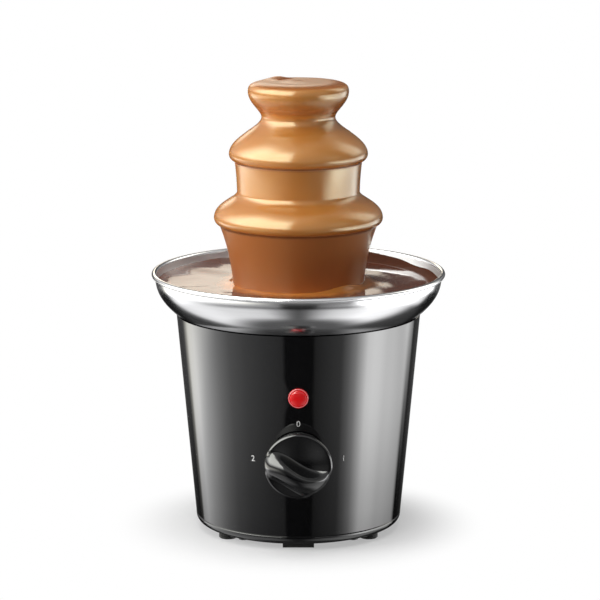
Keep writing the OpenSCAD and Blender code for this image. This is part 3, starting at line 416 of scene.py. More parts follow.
def fine_variation(tree, given):
    """A cloudy change of colour and roughness with a fine moulded grain."""
    where = place_on(tree)
    cloud = noise(tree, where, given["Scale"], 4.0)
    return {"Color": tinted(tree, given, cloud), "Roughness": uneven(tree, given, cloud),
            "Height": noise(tree, where, given["Grain"], 2.0)}


def spun_grain(tree, given):
    """Fine rings that a spinning or turning tool leaves round the Z axis."""
    part = parted(tree, place_on(tree))
    flat = joined(tree, part[0], part[1])
    across = maths(tree, "MULTIPLY", size_of(tree, flat), given["Rings"])
    up = maths(tree, "MULTIPLY", part[2], given["Rings"])
    slow = parted(tree, vector(tree, "NORMALIZE", flat))[0]
    lines = noise(tree, joined(tree, across, up, slow), 1.0, 3.0)
    return {"Color": tinted(tree, given, lines), "Roughness": uneven(tree, given, lines), "Height": lines}


STREAK_DEPTH = 0.05
# Ranges of the painted shade over which the colour turns to the half-shade colour, then to the deep-shade colour.
HALF_SHADE_RANGE = (0.0, 0.7)
DEEP_SHADE_RANGE = (0.75, 1.0)


def flow_streaks(tree, given):
    """Chocolate that runs down in long soft streaks, with painted shade by height: darker and duller under the
    lips, under the crown and down the lower curtain.
    """
    part = parted(tree, place_on(tree))
    way = vector(tree, "NORMALIZE", joined(tree, part[0], part[1]))
    turn = parted(tree, vector(tree, "SCALE", way, Scale=given["Streaks"]))
    down = maths(tree, "MULTIPLY", part[2], given["Fall"])
    streak = noise(tree, joined(tree, turn[0], turn[1], down), 1.0, 0.0)
    foot, top = node_foot("chocolate_flow"), node_top("chocolate_flow")
    rise = add(tree, "ShaderNodeMapRange", {"Value": part[2], "From Min": foot, "From Max": top})
    # The ramp by height paints shade into the colour: darker under the lips, under the crown and down the lower
    # curtain.
    stops = [((z - foot) / (top - foot), grey) for z, grey in painted_shade_by_height()]
    depth = greys(tree, rise.outputs["Result"], stops)
    share = maths(tree, "ADD", depth, spread(tree, streak, -STREAK_DEPTH, STREAK_DEPTH), clamp=True)
    mix = mix_colours(tree, step(tree, share, *HALF_SHADE_RANGE), given["Thin"], given["Thick"])
    mix = mix_colours(tree, step(tree, share, *DEEP_SHADE_RANGE), mix, given["Deep"])
    dulled = maths(tree, "MULTIPLY", depth, given["Dulling"])
    return {"Color": mix, "Roughness": maths(tree, "ADD", uneven(tree, given, streak), dulled), "Height": streak}


CLOUD_SCALE = 55.0
SMEAR_EDGE = 4 * MM
SMEAR_SIDE = 20 * MM


def pool_swirl(tree, given):
    """Light chocolate round the curtain that streaks out into dark, with a dull smear up the wall at the right."""
    where = place_on(tree)
    part = parted(tree, where)
    radius = size_of(tree, joined(tree, part[0], part[1]))
    cloud = noise(tree, where, CLOUD_SCALE, 4.0, 0.8)
    wander = maths(tree, "MULTIPLY", maths(tree, "SUBTRACT", cloud, 0.5), given["Wander"])
    share = step(tree, maths(tree, "ADD", radius, wander), given["Start"], given["End"])
    mix = mix_colours(tree, share, given["Near"], given["Far"])
    smear_end = maths(tree, "ADD", given["Smear radius"], SMEAR_EDGE)
    smear = maths(tree, "MULTIPLY", step(tree, radius, given["Smear radius"], smear_end),
                  step(tree, part[0], 0.0, SMEAR_SIDE))
    return {"Color": mix_colours(tree, smear, mix, given["Smear"]),
            "Roughness": blend(tree, smear, uneven(tree, given, cloud), given["Smear roughness"]),
            "Height": cloud}


def lens_glow(tree, given):
    """A lit lens with a painted highlight: a pale ring near its edge, where its bevel would catch the light,
    glowing with the rest of the lens.
    """
    part = parted(tree, place_on(tree))
    above = maths(tree, "SUBTRACT", part[2], given["Middle"])
    radius = size_of(tree, joined(tree, part[0], above))
    gap = maths(tree, "ABSOLUTE", maths(tree, "SUBTRACT", radius, given["Radius"]))
    # The pale ring is a painted highlight.
    share = step(tree, gap, given["Width"], 0.0)
    return {"Color": mix_colours(tree, share, given["Core"], given["Ring"]), "Height": share}


GROUPS = {
    "Fine variation": (fine_variation, {
        "Color": (0.5, 0.5, 0.5, 1), "Scale": 60.0, "Tint": 0.1, "Roughness": 0.4, "Unevenness": 0.08,
        "Grain": 1500.0}),
    "Spun grain": (spun_grain, {
        "Color": (0.6, 0.6, 0.6, 1), "Rings": 1800.0, "Tint": 0.06, "Roughness": 0.22, "Unevenness": 0.05}),
    "Flow streaks": (flow_streaks, {
        "Thin": (0.5, 0.2, 0.06, 1), "Thick": (0.4, 0.14, 0.04, 1), "Deep": (0.16, 0.05, 0.02, 1),
        "Streaks": 9.0, "Fall": 14.0, "Roughness": 0.2, "Unevenness": 0.04, "Dulling": 0.14}),
    "Pool swirl": (pool_swirl, {
        "Near": (0.5, 0.2, 0.06, 1), "Far": (0.12, 0.04, 0.03, 1), "Start": 43 * MM, "End": 55 * MM,
        "Wander": 14 * MM, "Roughness": 0.07, "Unevenness": 0.02, "Smear": (0.06, 0.018, 0.008, 1),
        "Smear radius": 79 * MM, "Smear roughness": 0.75}),
    "Lens glow": (lens_glow, {
        "Core": (0.6, 0.01, 0.01, 1), "Ring": (0.8, 0.26, 0.27, 1), "Middle": 0.1, "Radius": 5.7 * MM,
        "Width": 0.4 * MM}),
}


def shader_group(name):
    """One of the shader groups, built when it is first asked for."""
    if name in bpy.data.node_groups:
        return bpy.data.node_groups[name]
    build, values = GROUPS[name]
    tree = bpy.data.node_groups.new(name, "ShaderNodeTree")
    kinds = {True: "NodeSocketColor", False: "NodeSocketFloat"}
    for label, value in values.items():
        kind = kinds[isinstance(value, tuple)]
        tree.interface.new_socket(label, in_out="INPUT", socket_type=kind).default_value = value
    results = build(tree, tree.nodes.new("NodeGroupInput").outputs)
    for label in results:
        tree.interface.new_socket(label, in_out="OUTPUT", socket_type=kinds[label == "Color"])
    out = tree.nodes.new("NodeGroupOutput")
    for label, result in results.items():
        tree.links.new(result, out.inputs[label])
    return tree


# Materials

def finish(name, group, values, bump, uniform):
    """A material: a group feeds what changes over the surface, and uniform values sit on the shader."""
    if name in bpy.data.materials:
        return bpy.data.materials[name]
    material = bpy.data.materials.new(name)
    material.use_nodes = True
    tree = material.node_tree
    shader = tree.nodes["Principled BSDF"]
    for key, value in uniform.items():
        shader.inputs[key].default_value = value
    surface = add(tree, "ShaderNodeGroup", node_tree=shader_group(group))
    for key, value in values.items():
        surface.inputs[key].default_value = (*value, 1) if isinstance(value, tuple) else value
    tree.links.new(surface.outputs["Color"], shader.inputs["Base Color"])
    if "Emission Strength" in uniform:
        tree.links.new(surface.outputs["Color"], shader.inputs["Emission Color"])
    if "Roughness" in surface.outputs:
        tree.links.new(surface.outputs["Roughness"], shader.inputs["Roughness"])
    relief = add(tree, "ShaderNodeBump", {"Height": surface.outputs["Height"], "Distance": bump, "Strength": 1.0})
    tree.links.new(relief.outputs["Normal"], shader.inputs["Normal"])
    return material


def moulded(name, rgb, roughness, tint=0.08, bump=0.004 * MM, **uniform):
    """Moulded plastic, rubber or ceramic."""
    values = {"Color": rgb, "Tint": tint, "Roughness": roughness, "Unevenness": 0.25 * roughness}
    return finish(name, "Fine variation", values, bump, {"IOR": 1.5, **uniform})


def spun(name, rgb, roughness, rings=1800.0):
    """Metal with rings from spinning or turning."""
    values = {"Color": rgb, "Rings": rings, "Roughness": roughness, "Unevenness": 0.25 * roughness}
    return finish(name, "Spun grain", values, 0.003 * MM, {"Metallic": 1.0})


def plated(name, rgb, roughness):
    """Plated or cast metal with a fine cloudy finish."""
    values = {"Color": rgb, "Tint": 0.08, "Roughness": roughness, "Unevenness": 0.3 * roughness, "Grain": 2500.0}
    return finish(name, "Fine variation", values, 0.002 * MM, {"Metallic": 1.0})


MILK_RADIUS = (1.0, 0.4, 0.15)


def flowing_chocolate():
    """Warm milk chocolate that runs down in a wet film."""
    values = {"Thin": paint("caramel"), "Thick": paint("shaded_cocoa"), "Deep": paint("dark"), "Roughness": 0.19,
              "Unevenness": 0.004}
    return finish("Flowing chocolate", "Flow streaks", values, 0.004 * MM, {
        "IOR": 1.45, "Subsurface Weight": 0.2, "Subsurface Radius": MILK_RADIUS, "Subsurface Scale": 4 * MM,
        "Specular IOR Level": 0.9, "Specular Tint": (0.91, 0.98, 0.73, 1), "Coat Weight": 0.1,
        "Coat Roughness": 0.05, "Coat Tint": (0.95, 1, 0.75, 1)})


def pooled_chocolate():
    """Glossy chocolate gathered in the bowl."""
    values = {"Near": paint("caramel"), "Far": paint("pool")}
    return finish("Pooled chocolate", "Pool swirl", values, 0.1 * MM, {
        "IOR": 1.45, "Subsurface Weight": 0.1, "Subsurface Radius": MILK_RADIUS, "Subsurface Scale": 3 * MM,
        "Specular IOR Level": 0.15})


def gloss_black():
    """Gloss black housing plastic."""
    return moulded("Gloss black", paint("black"), 0.045, tint=0.2, bump=0.0004 * MM, IOR=1.58)


# Outline of the flow

SHOULDER_LEAD = 15.2 * MM
SHOULDER_RISE = 0.4 * MM
SHOULDER_SWELL = 4.2 * MM
CROWN_SWELL = 7.2 * MM
NECK_LEAD = np.array((0.0, 4.2)) * MM
UPPER_SKIRT = (6.5 * MM, 10 * MM)
LOWER_SKIRT = (4.8 * MM, 9 * MM)
LIP_IN = 3.3 * MM
LIP_DROP = 4.2 * MM
LIP_BEND = np.array([(0, 0), (0, 0.4), (0.35, 0.85), (1, 1)])
CURTAIN_STEP = np.array((0.3, 0.6)) * MM
FALL_LEAD = np.array((0.5, 0.3))
FALL_TAIL = np.array((0.2, 0.45))
DIP = 0.5 * MM
CROWN_TOP = node_top("chocolate_flow") - 0.8 * MM
CURVE_STEPS = 30
SWELL_PLACE = np.array((-13, 15)) * MM
SWELL_REACH = 6 * MM
SWELL_RISE = 1.5 * MM
SWELL_STARTS, SWELL_FULL = 2 * MM, 5 * MM
LANDING_R = 31 * MM
LANDING_WANDER = 1.2 * MM
LANDING_WIDTH = 0.8 * MM
LANDING_RISE = 0.22 * MM
FILL_DROP = 2.2 * MM
HOLLOW_RISE = 1.85 * MM
HOLLOW_IN = 3.5 * MM
HOLLOW_FOOT_IN = 4.45 * MM


def poured(angle, section):
    """Moves one section of the flow: a swell on the crown, and a faint ring where its fall lands."""
    f = flow()
    x, y = section[:, 0] * math.cos(angle), section[:, 0] * math.sin(angle)
    away = np.hypot(x - SWELL_PLACE[0], y - SWELL_PLACE[1]) / SWELL_REACH
    on_crown = smooth(SWELL_STARTS, SWELL_FULL, section[:, 1] - f.crown_z)
    section[:, 1] += SWELL_RISE * np.exp(-away ** 2) * on_crown
    # The upper skirt comes after the fill's point, the shoulder and the crown's curve
    first = 1 + 2 * (CURVE_STEPS + 1)
    skirt_part = section[first:first + CURVE_STEPS + 1]
    near = LANDING_R + LANDING_WANDER * math.sin(2 * angle + 0.7)
    rise = LANDING_RISE * (0.6 + 0.4 * math.sin(3 * angle))
    skirt_part[:, 1] += rise * np.exp(-((skirt_part[:, 0] - near) / LANDING_WIDTH) ** 2)
    return section


def skirt(a, b, lead, swell):
    """Curve from a neck or waist out to a tier's widest ring."""
    a, b = np.array(a), np.array(b)
    return [a, a - (0, lead), b + (0, swell), b]


def lip(a):
    """Curve under a tier's widest ring."""
    return np.array(a) - LIP_BEND * (LIP_IN, LIP_DROP)


def curtain(ring, foot):
    """Curve of a falling curtain under a tier."""
    a = np.array(ring) - (LIP_IN, LIP_DROP) - CURTAIN_STEP
    b = np.array(foot)
    return [a, a + FALL_LEAD * (b - a), b + FALL_TAIL * (a - b), b]


def painted_shade_by_height():
    """Heights from the pool up, each with how much painted shade darkens the chocolate's colour there: down the
    lower curtain, in a band under each lip and under the crown; the crown's top is darker too.
    """
    f = flow()
    places = [
        (node_top("chocolate_pool"), [(0, 0.66)]),
        (f.lower_z - LIP_DROP, [(-2.2, 0.7), (-0.7, 0.95), (0.3, 0.95), (1.6, 0.3), (5, 0.1)]),
        (f.upper_z - LIP_DROP, [(-2, 0.15), (-0.7, 0.93), (0.2, 0.93), (1.4, 0.3), (5, 0.1)]),
        (f.neck_z, [(2.5, 0.1), (5, 0.7), (9, 0.5)]),
        (f.crown_z, [(-2, 0.1), (3.6, 0.1), (5.4, 0.85)])]
    return [(place + up * MM, depth) for place, stops in places for up, depth in stops]


def flow_curves():
    """The flow's outline as curves, from the crown's widest ring down to the pool."""
    f = flow()
    crown, neck = np.array((f.crown_r, f.crown_z)), np.array((f.neck_r, f.neck_z))
    upper, waist, lower = (f.upper_r, f.upper_z), (f.waist_r, f.waist_z), (f.lower_r, f.lower_z)
    foot = (f.foot_r, node_top("chocolate_pool") - DIP)
    return [[crown, crown - (0, CROWN_SWELL), neck + NECK_LEAD, neck],
            skirt(neck, upper, *UPPER_SKIRT), lip(upper), curtain(upper, waist),
            skirt(waist, lower, *LOWER_SKIRT), lip(lower), curtain(lower, foot)]


def flow_outline():
    """Closed outline of the film: over the crown, down the outside and up the inside."""
    f = flow()
    shoulder = [(f.well_r, CROWN_TOP), (f.well_r + SHOULDER_LEAD, CROWN_TOP + SHOULDER_RISE),
                (f.crown_r, f.crown_z + SHOULDER_SWELL), (f.crown_r, f.crown_z)]
    outside = run(flow_curves(), 0, CURVE_STEPS)
    inside = run(flow_curves(), -f.film, CURVE_STEPS)[::-1]
    fill, hollow = f.crown_z - FILL_DROP, f.crown_z + HOLLOW_RISE
    under = [(f.crown_r - f.film, hollow), (f.crown_r - HOLLOW_IN, hollow), (f.crown_r - HOLLOW_FOOT_IN, fill)]
    return np.concatenate([[(f.well_r, fill)], bezier(shoulder, CURVE_STEPS)[0], outside, inside, under])


class FOUNTAIN_OT_flow(bpy.types.Operator):
    """Pour the chocolate over the crown and both tiers"""

    bl_idname = "fountain.flow"
    bl_label = "Flowing Chocolate"

    def execute(self, context):
        points, faces = turned(flow_outline(), flow().sides, poured)
        piece = mesh_piece("flowing_chocolate", points, faces, sharp=60)
        settle(piece, flowing_chocolate(), "tower", "chocolate_flow")
        return {"FINISHED"}


class FOUNTAIN_OT_swirl(bpy.types.Operator):
    """Well the chocolate up over the screw, with a fold that turns with it"""

    bl_idname = "fountain.swirl"
    bl_label = "Chocolate Swirl"

    def execute(self, context):
        f = flow()
        low, top = node_foot("chocolate_swirl"), node_top("chocolate_swirl")
        stem = f.well_r - 0.8 * MM
        fold, fold_reach = np.array((-5, -1)) * MM, 6 * MM
        lift, rise, peak = 0.04 * MM, 0.15 * MM, 0.6 * MM
        sides, rings = 128, 24
        radii = np.linspace(f.swirl_r, 0, rings)

        def shape(angle, section):
            surface = section[-rings:]
            away = np.hypot(radii * math.cos(angle) - fold[0], radii * math.sin(angle) - fold[1])
            inner = 1 - (radii / f.swirl_r) ** 2
            mound = peak * np.exp(-(away / fold_reach) ** 2) * inner ** 2
            surface[:, 1] = np.minimum(CROWN_TOP + lift + rise * inner ** 2 + mound, top)
            return section

        brim = CROWN_TOP + lift / 2
        under = [(0, low), (stem, low), (stem, brim), (f.swirl_r, brim)]
        outline = np.concatenate([under, np.stack([radii, np.zeros(rings)], 1)])
        points, faces = turned(outline, sides, shape)
        piece = mesh_piece("chocolate_swirl_fold", points, faces, sharp=70)
        settle(piece, flowing_chocolate(), "auger", "chocolate_swirl")
        return {"FINISHED"}


# Outline of the bowl

SHOULDER_SLOPE = math.radians(40.7)
WALL_HANDLE = 10.4 * MM
SHOULDER_HANDLE = 8.6 * MM
SINK_HANDLE = 11.2 * MM
FLOOR_HANDLE = 12 * MM
SHAFT_HOLE_R = 8.05 * MM
WALL_STEPS = 24
BEAD_STEPS = 28
BEAD_FOOT_SLOPE = -0.2


def bowl_curves():
    """The bowl's outer skin: wall from the bead to the shoulder, then down to the floor."""
    b = bowl()
    rim_z = node_top("bowl") - b.bead_r
    bead = node_radius("bowl") - b.bead_r
    wall = node_radius("bowl") - 2 * b.bead_r + b.sheet
    meet = rim_z - math.sqrt(b.bead_r ** 2 - (bead - wall) ** 2)
    under = node_foot("bowl")
    slope = np.array((math.cos(SHOULDER_SLOPE), math.sin(SHOULDER_SLOPE)))
    shoulder = np.array((b.shoulder_r, b.shoulder_z))
    return [[(wall, meet), (wall, meet - WALL_HANDLE), shoulder + SHOULDER_HANDLE * slope, shoulder],
            [shoulder, shoulder - SINK_HANDLE * slope, (b.floor_r + FLOOR_HANDLE, under), (b.floor_r, under)]]


class FOUNTAIN_OT_bowl(bpy.types.Operator):
    """Spin the steel bowl with its rolled rim"""

    bl_idname = "fountain.bowl"
    bl_label = "Bowl"

    def execute(self, context):
        b = bowl()
        centre_r, centre_z = node_radius("bowl") - b.bead_r, node_top("bowl") - b.bead_r
        under = node_foot("bowl")
        outer = run(bowl_curves(), 0, WALL_STEPS)
        inner = run(bowl_curves(), -b.sheet, WALL_STEPS)[::-1]
        end = -90 - math.degrees(math.asin((centre_r - outer[0, 0]) / b.bead_r))
        bead = arc((centre_r, centre_z), b.bead_r, 180, end, BEAD_STEPS)
        floor = [(SHAFT_HOLE_R, under), (SHAFT_HOLE_R, under + b.sheet)]
        outline = np.concatenate([bead, outer[1:], floor, inner])
        points, faces = turned(outline, b.sides)
        piece = mesh_piece("spun_bowl", points, faces)
        settle(piece, spun("Bowl steel", paint("steel"), 0.15), "base", "bowl")

        def dull(polygon):
            """Whether a face is on the bowl's inside or under its bead."""
            inside = polygon.normal.xy.dot(polygon.center.xy) < 0 and polygon.center.z < centre_z
            bead_foot = polygon.normal.z < BEAD_FOOT_SLOPE and polygon.center.z > centre_z - b.bead_r
            return inside or bead_foot

        second_finish(piece, spun("Bowl inside", paint("steel"), 0.42), dull)
        return {"FINISHED"}


# The pool's edge: smears up the wall (share of the climb, place in degrees, width), waves (share, count, phase)

SMEARS = [(2.3, 62, 0.42), (0.5, 22, 0.3), (0.6, 135, 0.6)]
EDGE_WAVES = [(0.08, 3, 0.4), (0.08, 9, 0), (0.06, 17, 2)]
EDGE_LIFT = 0.12
EDGE_BITE = 0.15 * MM
POOL_HOLE_R = 28.3 * MM
POOL_SKIN = 0.12 * MM
POOL_STEPS = 72

# The pool's surface: rings round the curtain, waves across it, a lap and a heap at the curtain, a rise to the wall

RING_SHARE, RING_WIDTH, RING_FADE = 0.35, 2.6 * MM, 9 * MM
CROSS_SHARE = 0.4
LAP_RISE, LAP_WIDTH = 0.9 * MM, 1.4 * MM
HEAP_RISE, HEAP_OUT, HEAP_WIDTH = 3 * MM, 0.6 * MM, 2.8 * MM
HEAP_PLACE = (-46, 0.36)
WALL_REACH, SMEAR_REACH = 1.6 * MM, 30 * MM
SMEAR_PLACE = (135, 0.5)
WALL_DROP = 2 * MM


def pool_rise(angle):
    """How far the pool's edge stands above its level on the bowl's wall."""
    smear = sum(share * lobe(angle, place, width) for share, place, width in SMEARS)
    waves = sum(share * math.sin(count * angle + phase) for share, count, phase in EDGE_WAVES)
    return bowl().climb * (EDGE_LIFT + smear + waves * (1 + smear))


def cross_waves(x, y):
    """Slow waves that cross the pool, from -1 to 1."""
    along = np.sin(x / (6.1 * MM) + 1.3 * np.sin(y / (9.7 * MM)))
    across = np.sin(y / (5.3 * MM) + 1.7 * np.sin(x / (8.3 * MM)) + 1.0)
    return (along + across) / 2


class FOUNTAIN_OT_pool(bpy.types.Operator):
    """Fill the bowl with chocolate that ripples round the curtain and climbs the wall"""

    bl_idname = "fountain.pool"
    bl_label = "Chocolate Pool"

    def execute(self, context):
        b, f = bowl(), flow()
        level, bottom = node_top("chocolate_pool"), node_foot("chocolate_pool")
        inside = run(bowl_curves(), -b.sheet - POOL_SKIN, WALL_STEPS)
        order = np.argsort(inside[:, 1])
        share = np.linspace(0, 1, POOL_STEPS)

        def shape(angle, section):
            edge_z = level + pool_rise(angle)
            edge_r = np.interp(edge_z, inside[order, 1], inside[order, 0])
            radii = POOL_HOLE_R + (edge_r - POOL_HOLE_R) * share
            out = radii - f.foot_r
            rings = np.sin(out / RING_WIDTH) * np.exp(-np.maximum(out, 0) / RING_FADE)
            cross = cross_waves(radii * math.cos(angle), radii * math.sin(angle))
            away = smooth(POOL_HOLE_R, f.foot_r, radii)
            lap = LAP_RISE * np.exp(-np.abs(out) / LAP_WIDTH)
            lap += HEAP_RISE * lobe(angle, *HEAP_PLACE) * np.exp(-((out - HEAP_OUT) / HEAP_WIDTH) ** 2)
            reach = WALL_REACH + SMEAR_REACH * lobe(angle, *SMEAR_PLACE)
            climb = (edge_z - level) * np.exp(-(edge_r - radii) / reach)
            ripples = b.ripple * away * (RING_SHARE * rings + CROSS_SHARE * cross)
            section[:POOL_STEPS, 0] = radii
            section[:POOL_STEPS, 1] = level + ripples + lap + climb
            section[POOL_STEPS] = edge_r, edge_z - EDGE_BITE
            return section

        wall = inside[inside[:, 1] < level - WALL_DROP]
        outline = np.concatenate([np.zeros((POOL_STEPS + 1, 2)), wall, [(POOL_HOLE_R, bottom)]])
        points, faces = turned(outline, b.sides, shape)
        piece = mesh_piece("rippled_pool", points, faces, sharp=60)
        settle(piece, pooled_chocolate(), "base", "chocolate_pool")
        return {"FINISHED"}


class FOUNTAIN_OT_housing(bpy.types.Operator):
    """Finish the housing, its base cover, feet and grommet"""

    bl_idname = "fountain.housing"
    bl_label = "Housing"

    def execute(self, context):
        coat_nodes(gloss_black(), "body_shell", "base_cover")
        rubber = moulded("Foot rubber", paint("rubber"), 0.6, bump=0.02 * MM, **{"Specular IOR Level": 0.15})
        coat_nodes(rubber, "round_feet", "end_feet", "cord_grommet", "bowl_gasket")
        silicone = moulded("Seal silicone", (0.42, 0.12, 0.06), 0.45, bump=0.01 * MM)
        coat_nodes(silicone, "shaft_seal")
        return {"FINISHED"}


# Outline of the knob's grip, upper and lower edge, across the knob from rim to rim

GRIP_UPPER = np.array([(-19.2, 6.0), (-6, 7.4), (-2, -11), (19.9, -6.6)]) * MM
GRIP_LOWER = np.array([(-20.5, -2.4), (-11, -3.6), (-2, -12.5), (9.5, -18.4)]) * MM
END_ROUND = 3.5 * MM
CREST_ROUND = 0.6 * MM
GRIP_STEPS = 80
PAST_RIM = 6 * MM


def stretched_edge(curve):
    """An edge of the grip run on past the rim at both ends."""
    along = bezier(curve, GRIP_STEPS)[0]
    ends = np.array([along[0] - along[1], along[-1] - along[-2]])
    first, last = along[[0, -1]] + PAST_RIM * ends / np.linalg.norm(ends, axis=1)[:, None]
    return np.concatenate([[first], along, [last]])


def rounded(radius, corner):
    """How far the knob's face falls near its rim, in a quarter circle of the corner's radius."""
    into = np.maximum(radius - knob().radius + corner, 0)
    return corner - np.sqrt(np.maximum(corner ** 2 - into ** 2, 0))


def side_of(curve, points):
    """Distance of points from a curve, positive above it."""
    start, legs = curve[:-1], np.diff(curve, axis=0)
    gap = points[:, None, :] - start[None]
    t = np.clip((gap * legs).sum(2) / (legs ** 2).sum(1), 0, 1)
    off = gap - t[..., None] * legs
    away = np.linalg.norm(off, axis=2)
    near = away.argmin(1)
    rows = np.arange(len(points))
    turn = legs[near, 0] * gap[rows, near, 1] - legs[near, 1] * gap[rows, near, 0]
    return away[rows, near] * np.sign(turn)


def knob_height(points):
    """Reach of the knob's face from the housing at points across it."""
    k = knob()
    radius = np.linalg.norm(points, axis=1)
    share = radius / k.radius
    floor = k.face - k.dish * (1 - np.minimum(share, 1) ** 2) ** 1.5 - rounded(radius, k.edge)
    upper = -side_of(stretched_edge(GRIP_UPPER), points)
    lower = side_of(stretched_edge(GRIP_LOWER), points)
    across = np.clip((upper - lower) / np.maximum(upper + lower, 1 * MM), -1, 1)
    lean = k.lean * across * smooth(0, k.radius, -points[:, 0])
    top = k.reach - k.sag * share ** 3 - rounded(radius, END_ROUND) - k.crest * across ** 2 + lean
    rise = smooth(-k.flank, CREST_ROUND, np.minimum(upper, lower))
    return floor + (top - floor) * rise


class FOUNTAIN_OT_knob(bpy.types.Operator):
    """Shape the round knob with its wavy grip"""

    bl_idname = "fountain.knob"
    bl_label = "Knob"

    def execute(self, context):
        k = knob()
        sides, rings = 240, 72
        radii = k.radius * np.sin(np.linspace(math.pi / 2, 0, rings))
        back_r, back_z, wall = k.radius - 2 * MM, 1.2 * MM, 2 * MM
        rim_z = k.face - 3.5 * MM

        def shape(angle, section):
            across = np.stack([radii * math.cos(angle), radii * math.sin(angle)], 1)
            section[-rings:, 1] = knob_height(across)
            return section

        back = [(0, rim_z - wall), (back_r - wall, rim_z - wall), (back_r - wall, back_z), (back_r, back_z),
                (k.radius, rim_z)]
        outline = np.concatenate([back, np.stack([radii, np.zeros(rings)], 1)])
        place = on_panel(KNOB_PLACE.z)
        points, faces = turned(outline, sides, shape, place)
        piece = mesh_piece("wavy_knob", points, faces, sharp=50)
        gloss = moulded("Knob black", paint("black"), 0.11, tint=0.2, bump=0.0006 * MM, IOR=1.58,
                        **{"Specular IOR Level": 0.45})
        settle(piece, gloss, "knob", "knob")
        inward = place.inverted()
        wall_finish = moulded("Knob wall", paint("black"), 0.5)
        second_finish(piece, wall_finish, lambda polygon: (inward @ polygon.center).z < rim_z)
        return {"FINISHED"}


LAMP_Z = 99 * MM


class FOUNTAIN_OT_lamp(bpy.types.Operator):
    """Light the red lens, with the holder and neon lamp behind it"""

    bl_idname = "fountain.lamp"
    bl_label = "Lamp"

    def execute(self, context):
        barrel, bore, depth, lift = 5 * MM, 3.9 * MM, 11 * MM, 0.1 * MM
        flange, corner, rim, sides = 6.2 * MM, 0.5 * MM, 1.3 * MM, 96
        groove = np.array([(5.45, 1.3), (5.2, 1.05), (4.95, 1.3)]) * MM
        dome = np.array([(4.9, 1.5), (4.2, 2), (2, 2.3), (0, 2.3)]) * MM
        outline = np.concatenate([
            [(bore, -depth), (barrel, -depth), (barrel, lift), (flange, lift)],
            arc((flange - corner, rim - corner), corner, 0, 90, 6), groove, bezier(dome, 10)[0],
            [(0, lift), (bore, lift)]])
        points, faces = turned(outline, sides, None, on_panel(LAMP_Z))
        piece = mesh_piece("red_lens", points, faces)
        # The lens glows from the lamp behind it; its pale ring is a painted highlight.
        lens = finish("Lit red lens", "Lens glow", {"Core": paint("lens"), "Middle": LAMP_Z}, 0.001 * MM,
                      {"IOR": 1.5, "Roughness": 0.12, "Emission Strength": 0.1})
        settle(piece, lens, "base", "lamp_lens")
        holder = moulded("Holder plastic", (0.62, 0.61, 0.56), 0.45)
        coat_nodes(holder, "lamp_holder", "gear_case", "terminal_block")
        glass = moulded("Lamp glass", (0.9, 0.55, 0.3), 0.06, bump=0.001 * MM, **{"Transmission Weight": 0.8})
        coat_nodes(glass, "neon_lamp")
        return {"FINISHED"}


class FOUNTAIN_OT_numbers(bpy.types.Operator):
    """Print plain numbers round the knob"""

    bl_idname = "fountain.numbers"
    bl_label = "Dial Numbers"

    def execute(self, context):
        ink = moulded("Printed ink", paint("print"), 0.5, tint=0.05)
        size, thick = 5.2 * MM, 0.03 * MM
        side, above = 28.5 * MM, 23.5 * MM
        middle = KNOB_PLACE.z
        for text, across, z in [("0", 0, middle + above), ("1", side, middle), ("2", -side, middle)]:
            letters = bpy.data.curves.new(f"number_{text}", "FONT")
            letters.body = text
            letters.size = size
            letters.align_x = "CENTER"
            letters.align_y = "CENTER"
            letters.extrude = thick
            letters.materials.append(ink)
            piece = bpy.data.objects.new(f"number_{text}", letters)
            bpy.context.scene.collection.objects.link(piece)
            piece.matrix_world = on_panel(z, across, 2 * thick)
            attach(piece, "base")
        return {"FINISHED"}


class FOUNTAIN_OT_tower(bpy.types.Operator):
    """Finish the tower's tube, canopies and crown, and the screw inside"""

    bl_idname = "fountain.tower"
    bl_label = "Tower and Screw"

    def execute(self, context):
        steel = spun("Tower steel", paint("steel"), 0.25, rings=1400.0)
        coat_nodes(steel, "tower_tube", "lower_canopy", "upper_canopy", "crown")
        nylon = moulded("Moulded nylon", paint("nylon"), 0.4, bump=0.01 * MM)
        coat_nodes(nylon, "auger", "idler_gear", "drive_gear")
        return {"FINISHED"}


class FOUNTAIN_OT_drive(bpy.types.Operator):
    """Finish the gear case, shafts, bushes and motor"""

    bl_idname = "fountain.drive"
    bl_label = "Drive and Motor"

    def execute(self, context):
        ground = plated("Ground steel", (0.55, 0.55, 0.56), 0.2)
        coat_nodes(ground, "drive_shaft", "idler_pin", "switch_shaft")
        bronze = plated("Sintered bronze", paint("bronze"), 0.35)
        coat_nodes(bronze, "upper_bush", "lower_bush", "motor_pinion", "switch_terminals")
        sheet = plated("Zinc sheet", paint("zinc"), 0.3)
        coat_nodes(sheet, "bracket", "motor_can")
        dark = moulded("Dark plastic", (0.02, 0.02, 0.02), 0.4, bump=0.01 * MM)
        coat_nodes(dark, "motor_cap", "switch_body")
        coat_nodes(plated("Wound copper", (0.48, 0.2, 0.09), 0.35), "motor_rotor")
        return {"FINISHED"}


class FOUNTAIN_OT_heater(bpy.types.Operator):
    """Finish the heater plate, element, thermostat and fuse"""

    bl_idname = "fountain.heater"
    bl_label = "Heater"

    def execute(self, context):
        coat_nodes(plated("Cast aluminium", (0.62, 0.62, 0.63), 0.42), "heater_plate")
        coat_nodes(plated("Element sheath", (0.2, 0.17, 0.15), 0.4), "heater_element")
        coat_nodes(moulded("Fired ceramic", paint("ceramic"), 0.55), "thermostat", "thermal_fuse")
        return {"FINISHED"}


